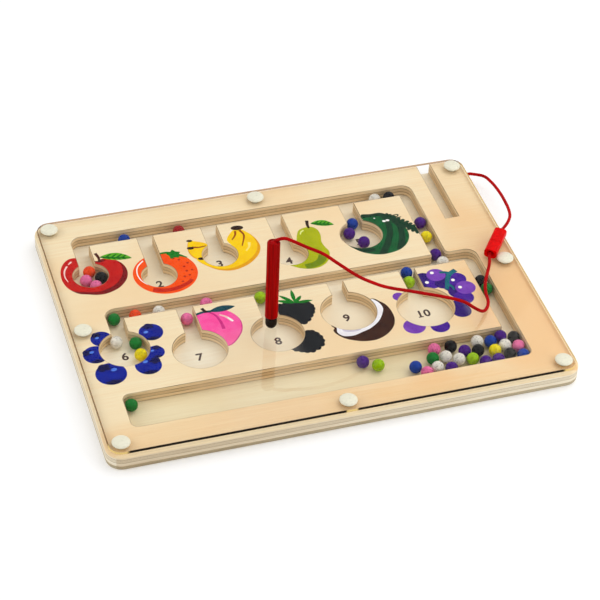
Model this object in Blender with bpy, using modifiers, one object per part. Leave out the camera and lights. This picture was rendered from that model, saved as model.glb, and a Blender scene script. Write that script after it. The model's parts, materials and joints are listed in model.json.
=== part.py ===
"""Magnetic maze board, in metres, +Z up, standing on z = 0 with its long side along X.

A base plate, a maze layer cut through with tracks, pockets and a pen slot, and a clear cover are
held together by eight capped rivets. Fifty-five steel balls lie in the tracks. A magnetic pen
stands on the cover, and its cord runs through a breakaway clasp to a hole in the board's side.
"""

import bmesh
import bpy
from math import cos, pi, radians, sin, sqrt
from mathutils import Matrix, Vector

# Board
BOARD_LENGTH = 0.300
BOARD_WIDTH = 0.220
BOARD_CORNER = 0.010
EDGE_ROUND = 0.0015
BASE_THICKNESS = 0.003
COVER_THICKNESS = 0.002
COVER_INSET = 0.0017
FIT_GAP = 0.0003
CUT_OVERRUN = 0.002
MERGE_DISTANCE = 0.00001

# Balls, and the heights that follow from them
BALL_DIAMETER = 0.008
BALL_RUN_GAP = 0.00025
BALL_SEGMENTS = 10
BALL_RINGS = 7
STRING_BAR_RADIUS = 0.0008

# Tracks, measured from the board's edges
TRACK_PLAY = 0.0018
NECK_PLAY = 0.0025
TRACK_CORNER = 0.007
RESERVOIR_CORNER = 0.0045
STEP_ROUND = 0.003
TOP_TRACK_FROM_BACK = 0.0183
TOP_TRACK_FROM_LEFT = 0.0211
UPPER_DROP_FROM_RIGHT = 0.0440
MIDDLE_TRACK_FROM_BACK = 0.0922
MIDDLE_TRACK_FROM_LEFT = 0.0265
LOWER_DROP_FROM_RIGHT = 0.0246
RESERVOIR_FROM_FRONT = 0.0225
RESERVOIR_FROM_LEFT = 0.0198
RESERVOIR_DEPTH = 0.0282

# Counting pockets 1 to 10: centre as a share of the board's length from its middle, then as a
# share of the wood's depth between its row's two tracks, radius as a share of a ball's diameter,
# and the neck's offset as a share of its width
POCKET_SHARES = (
    (-0.412, 0.546, 1.430, 0.00),
    (-0.270, 0.381, 1.430, 0.00),
    (-0.126, 0.539, 1.457, 0.00),
    (0.023, 0.381, 1.457, 0.02),
    (0.193, 0.491, 1.760, 0.00),
    (-0.396, 0.590, 1.952, 0.05),
    (-0.246, 0.413, 2.145, 0.02),
    (-0.077, 0.443, 2.090, 0.03),
    (0.088, 0.571, 2.227, -0.02),
    (0.251, 0.446, 2.310, -0.02),
)
POCKETS_ON_TOP_TRACK = 5
ROUND_SEGMENTS = 32

# Pen slot, open at the back edge
PEN_SLOT_FROM_RIGHT = 0.0224
PEN_SLOT_LENGTH = 0.0588
PEN_SLOT_PLAY = 0.0015

# Rivets
RIVET_HEAD_RADIUS = 0.0056
RIVET_HEAD_HEIGHT = 0.0020
RIVET_RIM_HEIGHT = 0.0006
RIVET_SHANK_RADIUS = 0.0025
RIVET_SHANK_DEPTH = 0.0085
RIVET_INSET = 0.0096
RIVET_SEGMENTS = 24

# Pen: it leans a little on the cover, as far as these offsets of its top say
PEN_HEADROOM = 0.0003
PEN_LENGTH = 0.0620
PEN_SHOULDER = 0.0011
PEN_TIP_LENGTH = 0.0079
PEN_TIP_INSET = 0.0004
PEN_MAGNET_RADIUS = 0.0025
PEN_MAGNET_LENGTH = 0.0095
PEN_MAGNET_FLOOR = 0.0018
PEN_SOCKET_DEPTH = 0.0055
PEN_SOCKET_PLAY = 0.0005
PEN_SOCKET_FLARE = 0.0013
PEN_SOCKET_FLARE_DEPTH = 0.0030
PEN_FOOT_SHARES = (-0.0893, -0.1195)
PEN_LEAN_SHARES = (0.0460, 0.1670)
PEN_SEGMENTS = 24
CORD_LIP_SHARE = 0.20

# Cords and clasp
CORD_DIAMETER = 0.0022
CORD_STEP = 0.0030
CLASP_WIDTH = 0.0084
CLASP_HEIGHT = 0.0066
CLASP_ROUND = 0.0022
CLASP_PLUG_LENGTH = 0.0105
CLASP_SOCKET_LENGTH = 0.0132
CLASP_PRONG_LENGTH = 0.0070
CLASP_PRONG_WIDTH = 0.0042
CLASP_PRONG_HEIGHT = 0.0032
CLASP_MOUTH_FLARE = 0.0013
CLASP_MOUTH_DEPTH = 0.0030
CLASP_START_SHARES = (0.4363, 0.0132)
CLASP_HEADING = radians(52.6)
CORD_HOLE_DEPTH = 0.0060
CORD_HOLE_FROM_BACK = 0.0130

# Heights and widths worked out from the sizes above
BALL_RADIUS = BALL_DIAMETER / 2
CAVITY_DEPTH = BALL_DIAMETER + 2 * BALL_RUN_GAP
MAZE_BOTTOM = BASE_THICKNESS + FIT_GAP
COVER_BOTTOM = BASE_THICKNESS + CAVITY_DEPTH
MAZE_TOP = COVER_BOTTOM - FIT_GAP
COVER_TOP = COVER_BOTTOM + COVER_THICKNESS
BALL_Z = BASE_THICKNESS + BALL_RUN_GAP + BALL_RADIUS
TRACK_WIDTH = BALL_DIAMETER + TRACK_PLAY
NECK_WIDTH = BALL_DIAMETER + NECK_PLAY
PEN_DIAMETER = CAVITY_DEPTH - PEN_HEADROOM
PEN_RADIUS = PEN_DIAMETER / 2
CORD_RADIUS = CORD_DIAMETER / 2
LEFT = -BOARD_LENGTH / 2
RIGHT = BOARD_LENGTH / 2
FRONT = -BOARD_WIDTH / 2
BACK = BOARD_WIDTH / 2
WALL_REACH = BALL_RADIUS + FIT_GAP
BALL_PITCH = BALL_DIAMETER + FIT_GAP

# Tracks as rectangles: left, right, front, back
TOP_TRACK = (
    LEFT + TOP_TRACK_FROM_LEFT,
    RIGHT - UPPER_DROP_FROM_RIGHT,
    BACK - TOP_TRACK_FROM_BACK - TRACK_WIDTH,
    BACK - TOP_TRACK_FROM_BACK,
)
MIDDLE_TRACK = (
    LEFT + MIDDLE_TRACK_FROM_LEFT,
    RIGHT - LOWER_DROP_FROM_RIGHT,
    BACK - MIDDLE_TRACK_FROM_BACK - TRACK_WIDTH,
    BACK - MIDDLE_TRACK_FROM_BACK,
)
RESERVOIR = (
    LEFT + RESERVOIR_FROM_LEFT,
    RIGHT - LOWER_DROP_FROM_RIGHT,
    FRONT + RESERVOIR_FROM_FRONT,
    FRONT + RESERVOIR_FROM_FRONT + RESERVOIR_DEPTH,
)
UPPER_DROP = (
    TOP_TRACK[1] - TRACK_WIDTH,
    TOP_TRACK[1],
    MIDDLE_TRACK[2],
    TOP_TRACK[3],
)
LOWER_DROP = (
    MIDDLE_TRACK[1] - TRACK_WIDTH,
    MIDDLE_TRACK[1],
    RESERVOIR[2],
    MIDDLE_TRACK[3],
)
PEN_SLOT = (
    RIGHT - PEN_SLOT_FROM_RIGHT - PEN_DIAMETER - PEN_SLOT_PLAY,
    RIGHT - PEN_SLOT_FROM_RIGHT,
    BACK - PEN_SLOT_LENGTH,
    BACK + CUT_OVERRUN,
)

# Balls in the tracks: colour, place along the free run in balls from its low end, or from its
# high end where negative, and share of the free width
TOP_TRACK_BALL_SHARES = (
    ("blue", 3.73, 0.0),
    ("red", 8.18, 0.0),
    ("white", -2.61, 0.0),
    ("black", -1.39, 0.0),
)
UPPER_DROP_BALL_SHARES = (
    ("purple", 5.16, 1.0),
    ("yellow", 3.38, 0.2),
    ("purple", 1.14, 0.0),
)
MIDDLE_TRACK_BALL_SHARES = (
    ("green", 0.14, 0.0),
    ("orange", 1.80, 0.0),
    ("white", 3.65, 0.0),
    ("pink", 7.38, 0.0),
    ("black", 12.71, 0.0),
    ("white", -2.23, 0.7),
)
LOWER_DROP_BALL_SHARES = (
    ("black", -2.90, 0.1),
    ("green", -3.90, 1.0),
)
RESERVOIR_BALL_SHARES = (
    ("green", 0.03, 0.93),
    ("purple", -11.99, 0.97),
    ("lime", -10.98, 0.71),
)

# Balls in the necks: colour, pocket number, balls above the pocket's centre, or below the
# track's middle where negative, and share of the neck's free width
NECK_BALL_SHARES = (
    ("orange", 1, 0.92, 0.85),
    ("blue", 5, 1.92, 0.1),
    ("pink", 7, -1.39, 0.5),
    ("lime", 8, -0.41, 0.4),
    ("blue", 10, -0.48, 0.9),
    ("lime", 10, -1.58, 0.1),
)

# Balls in the pockets: pocket number, then colour and place as shares of the free radius
POCKET_BALL_SHARES = (
    (1, (("pink", -0.44, -0.03), ("black", 0.97, 0.08), ("pink", 0.27, -0.96))),
    (5, (("purple", -0.59, 0.71), ("purple", 0.10, -0.40))),
    (6, (("white", -0.24, 0.99), ("green", 0.87, 0.72), ("yellow", 0.83, -0.33))),
)

# The heap at the reservoir's right end: colour, distance from the right wall in balls, share
# across the reservoir from its front
HEAP_SHARES = (
    ("blue", 8.27, 0.29),
    ("pink", 7.65, 0.00),
    ("white", 6.86, 0.14),
    ("green", 6.78, 0.54),
    ("pink", 6.34, 0.95),
    ("white", 5.75, 0.53),
    ("purple", 5.76, 0.00),
    ("black", 5.02, 0.95),
    ("white", 4.88, 0.33),
    ("purple", 4.16, 0.61),
    ("lime", 3.72, 0.20),
    ("black", 3.16, 0.56),
    ("purple", 3.12, 0.00),
    ("white", 2.80, 0.95),
    ("purple", 2.05, 0.00),
    ("yellow", 1.88, 0.40),
    ("blue", 1.77, 0.84),
    ("white", 0.98, 0.59),
    ("black", 0.87, 0.19),
    ("purple", 0.78, 1.00),
    ("blue", 0.00, 0.00),
    ("pink", 0.00, 0.38),
    ("black", 0.00, 0.79),
)
# Neighbours in the heap that one solid holds, by their places in the table above
HEAP_STRINGS = (
    (0, 1, 2),
    (3, 4, 5),
    (6,),
    (8,),
    (7, 9, 10),
    (11, 13),
    (12, 14),
    (15, 16),
    (17, 18),
    (19, 22, 21, 20),
)
SETTLE_ROUNDS = 400

# The long cord's route, from the pen's top over the board and along the cover to the clasp
LONG_CORD_ROUTE = (
    (-0.0180, -0.0175, 0.0772),
    (-0.0132, -0.0203, 0.0764),
    (-0.0060, -0.0244, 0.0737),
    (0.0035, -0.0294, 0.0703),
    (0.0112, -0.0340, 0.0653),
    (0.0225, -0.0391, 0.0571),
    (0.0310, -0.0411, 0.0518),
    (0.0417, -0.0434, 0.0468),
    (0.0589, -0.0457, 0.0413),
    (0.0808, -0.0492, 0.0346),
    (0.0915, -0.0507, 0.0299),
    (0.0983, -0.0523, 0.0248),
    (0.1046, -0.0504, 0.0190),
    (0.1098, -0.0455, 0.0156),
    (0.1137, -0.0389, 0.0149),
    (0.1154, -0.0300, 0.0149),
    (0.1186, -0.0210, 0.0149),
    (0.1229, -0.0130, 0.0151),
    (0.1272, -0.0054, 0.0158),
)
# The short cord's route, from the clasp round the board's edge to the hole in its side
SHORT_CORD_ROUTE = (
    (0.1500, 0.0263, 0.0171),
    (0.1545, 0.0312, 0.0168),
    (0.1584, 0.0376, 0.0162),
    (0.1606, 0.0455, 0.0152),
    (0.1620, 0.0545, 0.0138),
    (0.1630, 0.0640, 0.0123),
    (0.1634, 0.0739, 0.0107),
    (0.1630, 0.0832, 0.0092),
    (0.1608, 0.0914, 0.0081),
)

# Surface finishes: colour, roughness, metallic
FINISHES = {
    "base_wood": ((0.72, 0.62, 0.46), 0.60, 0.0),
    "maze_wood": ((0.86, 0.68, 0.47), 0.55, 0.0),
    "clear_acrylic": ((0.95, 0.96, 0.95), 0.05, 0.0),
    "cream_cap": ((0.88, 0.84, 0.70), 0.35, 0.0),
    "red_lacquer": ((0.55, 0.00, 0.01), 0.25, 0.0),
    "black_tip": ((0.01, 0.01, 0.01), 0.30, 0.0),
    "magnet": ((0.45, 0.45, 0.47), 0.30, 1.0),
    "red_cord": ((0.60, 0.01, 0.02), 0.80, 0.0),
    "red_plastic": ((0.80, 0.01, 0.01), 0.35, 0.0),
    "ball_red": ((0.55, 0.03, 0.03), 0.30, 0.0),
    "ball_orange": ((0.85, 0.16, 0.03), 0.30, 0.0),
    "ball_yellow": ((0.80, 0.60, 0.02), 0.30, 0.0),
    "ball_lime": ((0.36, 0.55, 0.03), 0.30, 0.0),
    "ball_green": ((0.01, 0.25, 0.08), 0.30, 0.0),
    "ball_blue": ((0.02, 0.09, 0.36), 0.30, 0.0),
    "ball_pink": ((0.85, 0.27, 0.44), 0.30, 0.0),
    "ball_black": ((0.01, 0.01, 0.012), 0.30, 0.0),
    "ball_white": ((0.80, 0.79, 0.74), 0.30, 0.0),
    "ball_purple": ((0.10, 0.03, 0.24), 0.30, 0.0),
}


def clear_scene():
    for obj in list(bpy.data.objects):
        bpy.data.objects.remove(obj, do_unlink=True)


def collection_named(name):
    found = bpy.data.collections.new(name)
    bpy.context.scene.collection.children.link(found)
    return found


def finish_named(name):
    """The Principled material of this finish, made on first use."""
    made = bpy.data.materials.get(name)
    if made:
        return made
    colour, roughness, metallic = FINISHES[name]
    made = bpy.data.materials.new(name)
    made.use_nodes = True
    shader = made.node_tree.nodes["Principled BSDF"]
    shader.inputs["Base Color"].default_value = (*colour, 1)
    shader.inputs["Roughness"].default_value = roughness
    shader.inputs["Metallic"].default_value = metallic
    return made


def object_from(name, mesh, collection, finish=None, parent=None):
    obj = bpy.data.objects.new(name, mesh)
    collection.objects.link(obj)
    obj.parent = parent
    if finish:
        mesh.materials.append(finish_named(finish))
    return obj


def mesh_from(name, bm, smooth_angle=radians(35)):
    mesh = bpy.data.meshes.new(name)
    bmesh.ops.recalc_face_normals(bm, faces=bm.faces)
    bm.to_mesh(mesh)
    bm.free()
    mesh.shade_smooth()
    mesh.set_sharp_from_angle(angle=smooth_angle)
    return mesh


def vertical_edge_at(edge, sign_x, sign_y):
    """Whether this edge stands upright in the corner with these signs of x and y."""
    low, high = edge.verts
    upright = low.co.x * high.co.x > 0 and low.co.y * high.co.y > 0
    middle = (low.co + high.co) / 2
    return upright and middle.x * sign_x > 0 and middle.y * sign_y > 0


def rounded_block(length, width, height, corners, segments=6):
    """A box round the origin whose upright edges have their own radii.

    corners maps the signs of x and y to a radius, and a corner left out stays sharp.
    """
    bm = bmesh.new()
    bmesh.ops.create_cube(bm, size=1.0)
    bmesh.ops.scale(bm, vec=(length, width, height), verts=bm.verts)
    for (sign_x, sign_y), radius in corners.items():
        edges = [e for e in bm.edges if vertical_edge_at(e, sign_x, sign_y) and is_upright(e)]
        bmesh.ops.bevel(
            bm, geom=edges, offset=radius, offset_type="OFFSET", segments=segments,
            profile=0.5, affect="EDGES",
        )
    return bm


def is_upright(edge):
    low, high = edge.verts
    flat = sqrt((low.co.x - high.co.x) ** 2 + (low.co.y - high.co.y) ** 2)
    return flat < abs(low.co.z - high.co.z)


def all_corners(radius):
    return {(x, y): radius for x in (-1, 1) for y in (-1, 1)}


def rim_edges(bm, side):
    """The edges round the top face (side 1) or the bottom face (side -1)."""
    face = max(bm.faces, key=lambda f: side * f.calc_center_median().z)
    return list(face.edges)


def plate_mesh(name, length, width, thickness, corner, round_side=0):
    """A plate with round corners, and with one rim rounded over where round_side says."""
    bm = rounded_block(length, width, thickness, all_corners(corner), segments=8)
    if round_side:
        bmesh.ops.bevel(
            bm, geom=rim_edges(bm, round_side), offset=EDGE_ROUND, offset_type="OFFSET",
            segments=3, profile=0.5, affect="EDGES",
        )
    return mesh_from(name, bm)


def cutter(name, mesh, location, cutters):
    obj = object_from(name, mesh, cutters)
    obj.location = location
    obj.hide_render = True
    obj.display_type = "WIRE"
    return obj


def cut(target, tool):
    boolean = target.modifiers.new(tool.name, "BOOLEAN")
    boolean.operation = "DIFFERENCE"
    boolean.solver = "EXACT"
    boolean.object = tool


def unite(target, tool):
    boolean = target.modifiers.new(tool.name, "BOOLEAN")
    boolean.operation = "UNION"
    boolean.solver = "EXACT"
    boolean.object = tool


def track_cutter(name, sides, corners, cutters):
    """A cutter through the maze layer over this rectangle: left, right, front, back."""
    left, right, front, back = sides
    height = MAZE_TOP - MAZE_BOTTOM + 2 * CUT_OVERRUN
    bm = rounded_block(right - left, back - front, height, corners)
    middle = ((left + right) / 2, (front + back) / 2, (MAZE_TOP + MAZE_BOTTOM) / 2)
    return cutter(name, mesh_from(name, bm), middle, cutters)


def round_cutter(name, radius, low, high, place, cutters, segments=ROUND_SEGMENTS):
    """An upright round cutter from height low to height high."""
    bm = bmesh.new()
    bmesh.ops.create_cone(
        bm, cap_ends=True, segments=segments, radius1=radius, radius2=radius, depth=high - low,
    )
    middle = (place[0], place[1], (low + high) / 2)
    return cutter(name, mesh_from(name, bm), middle, cutters)


def turned(name, profile, collection, finish=None, parent=None, segments=RIVET_SEGMENTS):
    """A solid turned round Z from a profile of (radius, height) points, listed from the top down."""
    bm = bmesh.new()
    verts = [bm.verts.new((radius, 0, height)) for radius, height in profile]
    for above, below in zip(verts, verts[1:]):
        bm.edges.new((above, below))
    mesh = bpy.data.meshes.new(name)
    bm.to_mesh(mesh)
    bm.free()
    obj = object_from(name, mesh, collection, finish, parent)
    screw = obj.modifiers.new("turn", "SCREW")
    screw.axis = "Z"
    screw.steps = segments
    screw.render_steps = segments
    screw.use_merge_vertices = True
    screw.merge_threshold = MERGE_DISTANCE
    screw.use_smooth_shade = True
    return obj


def along(low, high, share):
    return low + (high - low) * share


def pocket_places():
    """Centre, radius and neck rectangle of each pocket."""
    places = []
    for index, (x_share, y_share, radius_share, neck_share) in enumerate(POCKET_SHARES):
        on_top = index < POCKETS_ON_TOP_TRACK
        track = TOP_TRACK if on_top else MIDDLE_TRACK
        row_front = (MIDDLE_TRACK if on_top else RESERVOIR)[3]
        centre = Vector((x_share * BOARD_LENGTH, along(row_front, track[2], y_share)))
        radius = radius_share * BALL_DIAMETER
        middle = centre.x + neck_share * NECK_WIDTH
        left = max(middle - NECK_WIDTH / 2, track[0])
        neck = (left, left + NECK_WIDTH, centre.y, track[2] + TRACK_WIDTH / 2)
        places.append((centre, radius, neck))
    return places


def step_round_cutter(cutters):
    """Rounds the wood's corner where the upper drop's outer wall meets the middle track's."""
    corner = Vector((UPPER_DROP[1], MIDDLE_TRACK[3]))
    height = MAZE_TOP - MAZE_BOTTOM + 2 * CUT_OVERRUN
    size = STEP_ROUND + CUT_OVERRUN
    block = rounded_block(size, size, height, {})
    middle = (MAZE_TOP + MAZE_BOTTOM) / 2
    reach = (STEP_ROUND - CUT_OVERRUN) / 2
    tool = cutter(
        "step_round", mesh_from("step_round", block),
        (corner.x + reach, corner.y + reach, middle), cutters,
    )
    keep = round_cutter(
        "step_keep", STEP_ROUND, MAZE_BOTTOM - 2 * CUT_OVERRUN, MAZE_TOP + 2 * CUT_OVERRUN,
        corner + Vector((STEP_ROUND, STEP_ROUND)), cutters,
    )
    cut(tool, keep)
    return tool


def rivet_places():
    far_x = RIGHT - RIVET_INSET
    far_y = BACK - RIVET_INSET
    rim = [(x, y) for x in (-far_x, 0, far_x) for y in (-far_y, far_y)]
    return rim + [(-far_x, 0), (far_x, 0)]


def cord_hole_centre():
    return Vector((RIGHT, BACK - CORD_HOLE_FROM_BACK, (MAZE_BOTTOM + MAZE_TOP) / 2))


def cord_hole_cutter(cutters):
    """The blind hole in the board's right side that the short cord goes into."""
    depth = CORD_HOLE_DEPTH + CUT_OVERRUN
    bm = bmesh.new()
    bmesh.ops.create_cone(
        bm, cap_ends=True, segments=16, radius1=CORD_RADIUS + FIT_GAP,
        radius2=CORD_RADIUS + FIT_GAP, depth=depth,
    )
    bmesh.ops.rotate(bm, matrix=Matrix.Rotation(pi / 2, 3, "Y"), verts=bm.verts)
    middle = cord_hole_centre() + Vector((CUT_OVERRUN - depth / 2, 0, 0))
    return cutter("cord_hole", mesh_from("cord_hole", bm), middle, cutters)


def base_plate(parts):
    mesh = plate_mesh(
        "base_plate", BOARD_LENGTH, BOARD_WIDTH, BASE_THICKNESS, BOARD_CORNER, round_side=-1
    )
    obj = object_from("base_plate", mesh, parts, "base_wood")
    obj.location = (0, 0, BASE_THICKNESS / 2)


def maze_layer(parts, cutters):
    mesh = plate_mesh(
        "maze_layer", BOARD_LENGTH, BOARD_WIDTH, MAZE_TOP - MAZE_BOTTOM, BOARD_CORNER,
        round_side=1,
    )
    obj = object_from("maze_layer", mesh, parts, "maze_wood")
    obj.location = (0, 0, (MAZE_TOP + MAZE_BOTTOM) / 2)
    outer = TRACK_CORNER
    tracks = (
        ("top_track", TOP_TRACK, {(-1, 1): outer, (1, 1): outer}),
        ("upper_drop", UPPER_DROP, {(1, 1): outer}),
        ("middle_track", MIDDLE_TRACK, {(-1, 1): outer, (1, 1): outer}),
        ("lower_drop", LOWER_DROP, {(1, 1): outer, (1, -1): RESERVOIR_CORNER}),
        ("reservoir", RESERVOIR, all_corners(RESERVOIR_CORNER)),
        ("pen_slot", PEN_SLOT, {}),
    )
    for name, sides, corners in tracks:
        cut(obj, track_cutter(name, sides, corners, cutters))
    low, high = MAZE_BOTTOM - CUT_OVERRUN, MAZE_TOP + CUT_OVERRUN
    for number, (centre, radius, neck) in enumerate(pocket_places(), start=1):
        cut(obj, round_cutter(f"pocket_{number}", radius, low, high, centre, cutters))
        cut(obj, track_cutter(f"neck_{number}", neck, {}, cutters))
    cut(obj, step_round_cutter(cutters))
    cut(obj, cord_hole_cutter(cutters))
    hole_low = COVER_TOP - RIVET_SHANK_DEPTH - FIT_GAP
    for index, place in enumerate(rivet_places(), start=1):
        tool = round_cutter(
            f"rivet_hole_{index}", RIVET_SHANK_RADIUS + FIT_GAP, hole_low, high, place, cutters, 16
        )
        cut(obj, tool)


def cover_sheet(parts, cutters):
    corner = BOARD_CORNER - COVER_INSET
    mesh = plate_mesh(
        "cover_sheet", BOARD_LENGTH - 2 * COVER_INSET, BOARD_WIDTH - 2 * COVER_INSET,
        COVER_THICKNESS, corner,
    )
    obj = object_from("cover_sheet", mesh, parts, "clear_acrylic")
    obj.location = (0, 0, (COVER_BOTTOM + COVER_TOP) / 2)
    low, high = COVER_BOTTOM - CUT_OVERRUN, COVER_TOP + CUT_OVERRUN
    for index, place in enumerate(rivet_places(), start=1):
        tool = round_cutter(
            f"cover_hole_{index}", RIVET_SHANK_RADIUS + FIT_GAP, low, high, place, cutters, 16
        )
        cut(obj, tool)


def rivet_profile():
    """Dome, rim, flat underside and shank, as heights above the cover's top."""
    rise = RIVET_HEAD_HEIGHT - RIVET_RIM_HEIGHT
    dome = [
        (RIVET_HEAD_RADIUS * sin(angle), FIT_GAP + RIVET_RIM_HEIGHT + rise * cos(angle))
        for angle in (step * pi / 10 for step in range(6))
    ]
    return dome + [
        (RIVET_HEAD_RADIUS, FIT_GAP),
        (RIVET_SHANK_RADIUS, FIT_GAP),
        (RIVET_SHANK_RADIUS, -RIVET_SHANK_DEPTH),
        (0, -RIVET_SHANK_DEPTH),
    ]


def rivets(parts):
    for index, (x, y) in enumerate(rivet_places(), start=1):
        obj = turned(f"rivet_{index}", rivet_profile(), parts, "cream_cap")
        obj.location = (x, y, COVER_TOP)


def balls_from(low, high, balls):
    """The place this many balls above low, or below high where negative."""
    return (high if balls < 0 else low) + balls * BALL_PITCH


def track_spot(sides, balls_along, across_share, along_x):
    """A ball's place in a straight track, from its balls along it and its share of its width."""
    left, right, front, back = sides
    x_span = (left + WALL_REACH, right - WALL_REACH)
    y_span = (front + WALL_REACH, back - WALL_REACH)
    if along_x:
        return Vector((balls_from(*x_span, balls_along), along(*y_span, across_share)))
    return Vector((along(*x_span, across_share), balls_from(*y_span, balls_along)))


def settle(spots, confine):
    """Pushes balls that are closer than a ball's pitch apart, and keeps each where it may lie."""
    pitch = BALL_PITCH + FIT_GAP / 4
    for _ in range(SETTLE_ROUNDS):
        for i, spot in enumerate(spots):
            for other in spots[:i]:
                apart = spot - other
                lack = pitch - apart.length
                if lack > 0:
                    push = apart.normalized() * lack / 2
                    spot += push
                    other -= push
        spots = [confine(spot) for spot in spots]
    return spots


def heap_spots():
    left, right, front, back = RESERVOIR

    def confine(spot):
        x = min(max(spot.x, left + WALL_REACH), right - WALL_REACH)
        y = min(max(spot.y, front + WALL_REACH), back - WALL_REACH)
        return Vector((x, y))

    seeds = [
        Vector((
            right - WALL_REACH - balls * BALL_PITCH,
            along(front + WALL_REACH, back - WALL_REACH, across),
        ))
        for _, balls, across in HEAP_SHARES
    ]
    return settle(seeds, confine)


def pocket_spots(number, balls):
    centre, radius, _ = pocket_places()[number - 1]
    reach = radius * cos(pi / ROUND_SEGMENTS) - WALL_REACH

    def confine(spot):
        out = spot - centre
        return centre + out * min(1, reach / max(out.length, FIT_GAP))

    seeds = [centre + Vector((x, y)) * reach for _, x, y in balls]
    return settle(seeds, confine)


def neck_spot(number, balls_up, across_share):
    centre, _, neck = pocket_places()[number - 1]
    x = along(neck[0] + WALL_REACH, neck[1] - WALL_REACH, across_share)
    track_middle = neck[3]
    return Vector((x, balls_from(centre.y, track_middle, balls_up)))


def ball_strings():
    """Every solid of balls: a name part for its place, and its balls' colours and spots."""
    strings = []
    rows = (
        ("top", TOP_TRACK, TOP_TRACK_BALL_SHARES, True),
        ("upper", UPPER_DROP, UPPER_DROP_BALL_SHARES, False),
        ("middle", MIDDLE_TRACK, MIDDLE_TRACK_BALL_SHARES, True),
        ("lower", LOWER_DROP, LOWER_DROP_BALL_SHARES, False),
        ("tray", RESERVOIR, RESERVOIR_BALL_SHARES, True),
    )
    for place, sides, table, along_x in rows:
        for colour, balls_along, across in table:
            spot = track_spot(sides, balls_along, across, along_x)
            strings.append((place, [(colour, spot)]))
    for colour, number, balls_up, across in NECK_BALL_SHARES:
        strings.append((f"neck{number}", [(colour, neck_spot(number, balls_up, across))]))
    for number, balls in POCKET_BALL_SHARES:
        for (colour, _, _), spot in zip(balls, pocket_spots(number, balls)):
            strings.append((f"pocket{number}", [(colour, spot)]))
    spots = heap_spots()
    for string in HEAP_STRINGS:
        strings.append(("heap", [(HEAP_SHARES[i][0], spots[i]) for i in string]))
    return strings


def ball_mesh(name):
    bm = bmesh.new()
    bmesh.ops.create_uvsphere(
        bm, u_segments=BALL_SEGMENTS, v_segments=BALL_RINGS, radius=BALL_RADIUS
    )
    return mesh_from(name, bm, smooth_angle=pi)


def bar_between(name, start, end, cutters):
    """A thin bar between two neighbouring balls, so that one solid holds both."""
    span = end - start
    bm = bmesh.new()
    bmesh.ops.create_cone(
        bm, cap_ends=True, segments=8, radius1=STRING_BAR_RADIUS, radius2=STRING_BAR_RADIUS,
        depth=span.length,
    )
    bar = cutter(name, mesh_from(name, bm), (start + end) / 2, cutters)
    bar.rotation_mode = "QUATERNION"
    bar.rotation_quaternion = Vector((0, 0, 1)).rotation_difference(span)
    return bar


def balls(parts, cutters):
    counts = {}
    for place, string in ball_strings():
        colour, spot = string[0]
        counts[place] = counts.get(place, 0) + 1
        name = f"ball_{place}_{counts[place]}"
        first = Vector((spot.x, spot.y, BALL_Z))
        obj = object_from(name, ball_mesh(name), parts, f"ball_{colour}")
        obj.location = first
        last = first
        for index, (_, other) in enumerate(string[1:], start=2):
            there = Vector((other.x, other.y, BALL_Z))
            label = f"{name}_{index}"
            unite(obj, cutter(label, ball_mesh(label), there, cutters))
            unite(obj, bar_between(f"{label}_bar", last, there, cutters))
            last = there


def clasp_start():
    """The clasp's cord end, on its axis."""
    return Vector((
        CLASP_START_SHARES[0] * BOARD_LENGTH,
        CLASP_START_SHARES[1] * BOARD_WIDTH,
        COVER_TOP + FIT_GAP + CLASP_HEIGHT / 2,
    ))


def cord_end_in_plug():
    """Where the long cord ends in the clasp plug: the pen swings round the upright axis here."""
    heading = Vector((cos(CLASP_HEADING), sin(CLASP_HEADING), 0))
    return clasp_start() + heading * CLASP_MOUTH_DEPTH * 2 / 3


def pen_frame(parts):
    """An empty at the pen's foot whose Z runs up the leaning pen, carried by one on its axis."""
    swing = bpy.data.objects.new("pen_swing", None)
    parts.objects.link(swing)
    swing.location = cord_end_in_plug()
    foot = Vector((
        PEN_FOOT_SHARES[0] * BOARD_LENGTH,
        PEN_FOOT_SHARES[1] * BOARD_WIDTH,
        COVER_TOP + FIT_GAP,
    ))
    lean_x, lean_y = PEN_LEAN_SHARES
    up = Vector((lean_x, lean_y, sqrt(1 - lean_x ** 2 - lean_y ** 2)))
    frame = bpy.data.objects.new("pen_frame", None)
    parts.objects.link(frame)
    frame.parent = swing
    frame.location = foot - swing.location
    frame.rotation_mode = "QUATERNION"
    frame.rotation_quaternion = Vector((0, 0, 1)).rotation_difference(up)
    return frame


def quarter(centre_radius, centre_height, size, start, steps=4):
    """Points of a quarter round from angle start, turning clockwise."""
    return [
        (centre_radius + size * cos(start - k * pi / 2 / steps),
         centre_height + size * sin(start - k * pi / 2 / steps))
        for k in range(steps + 1)
    ]


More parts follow.
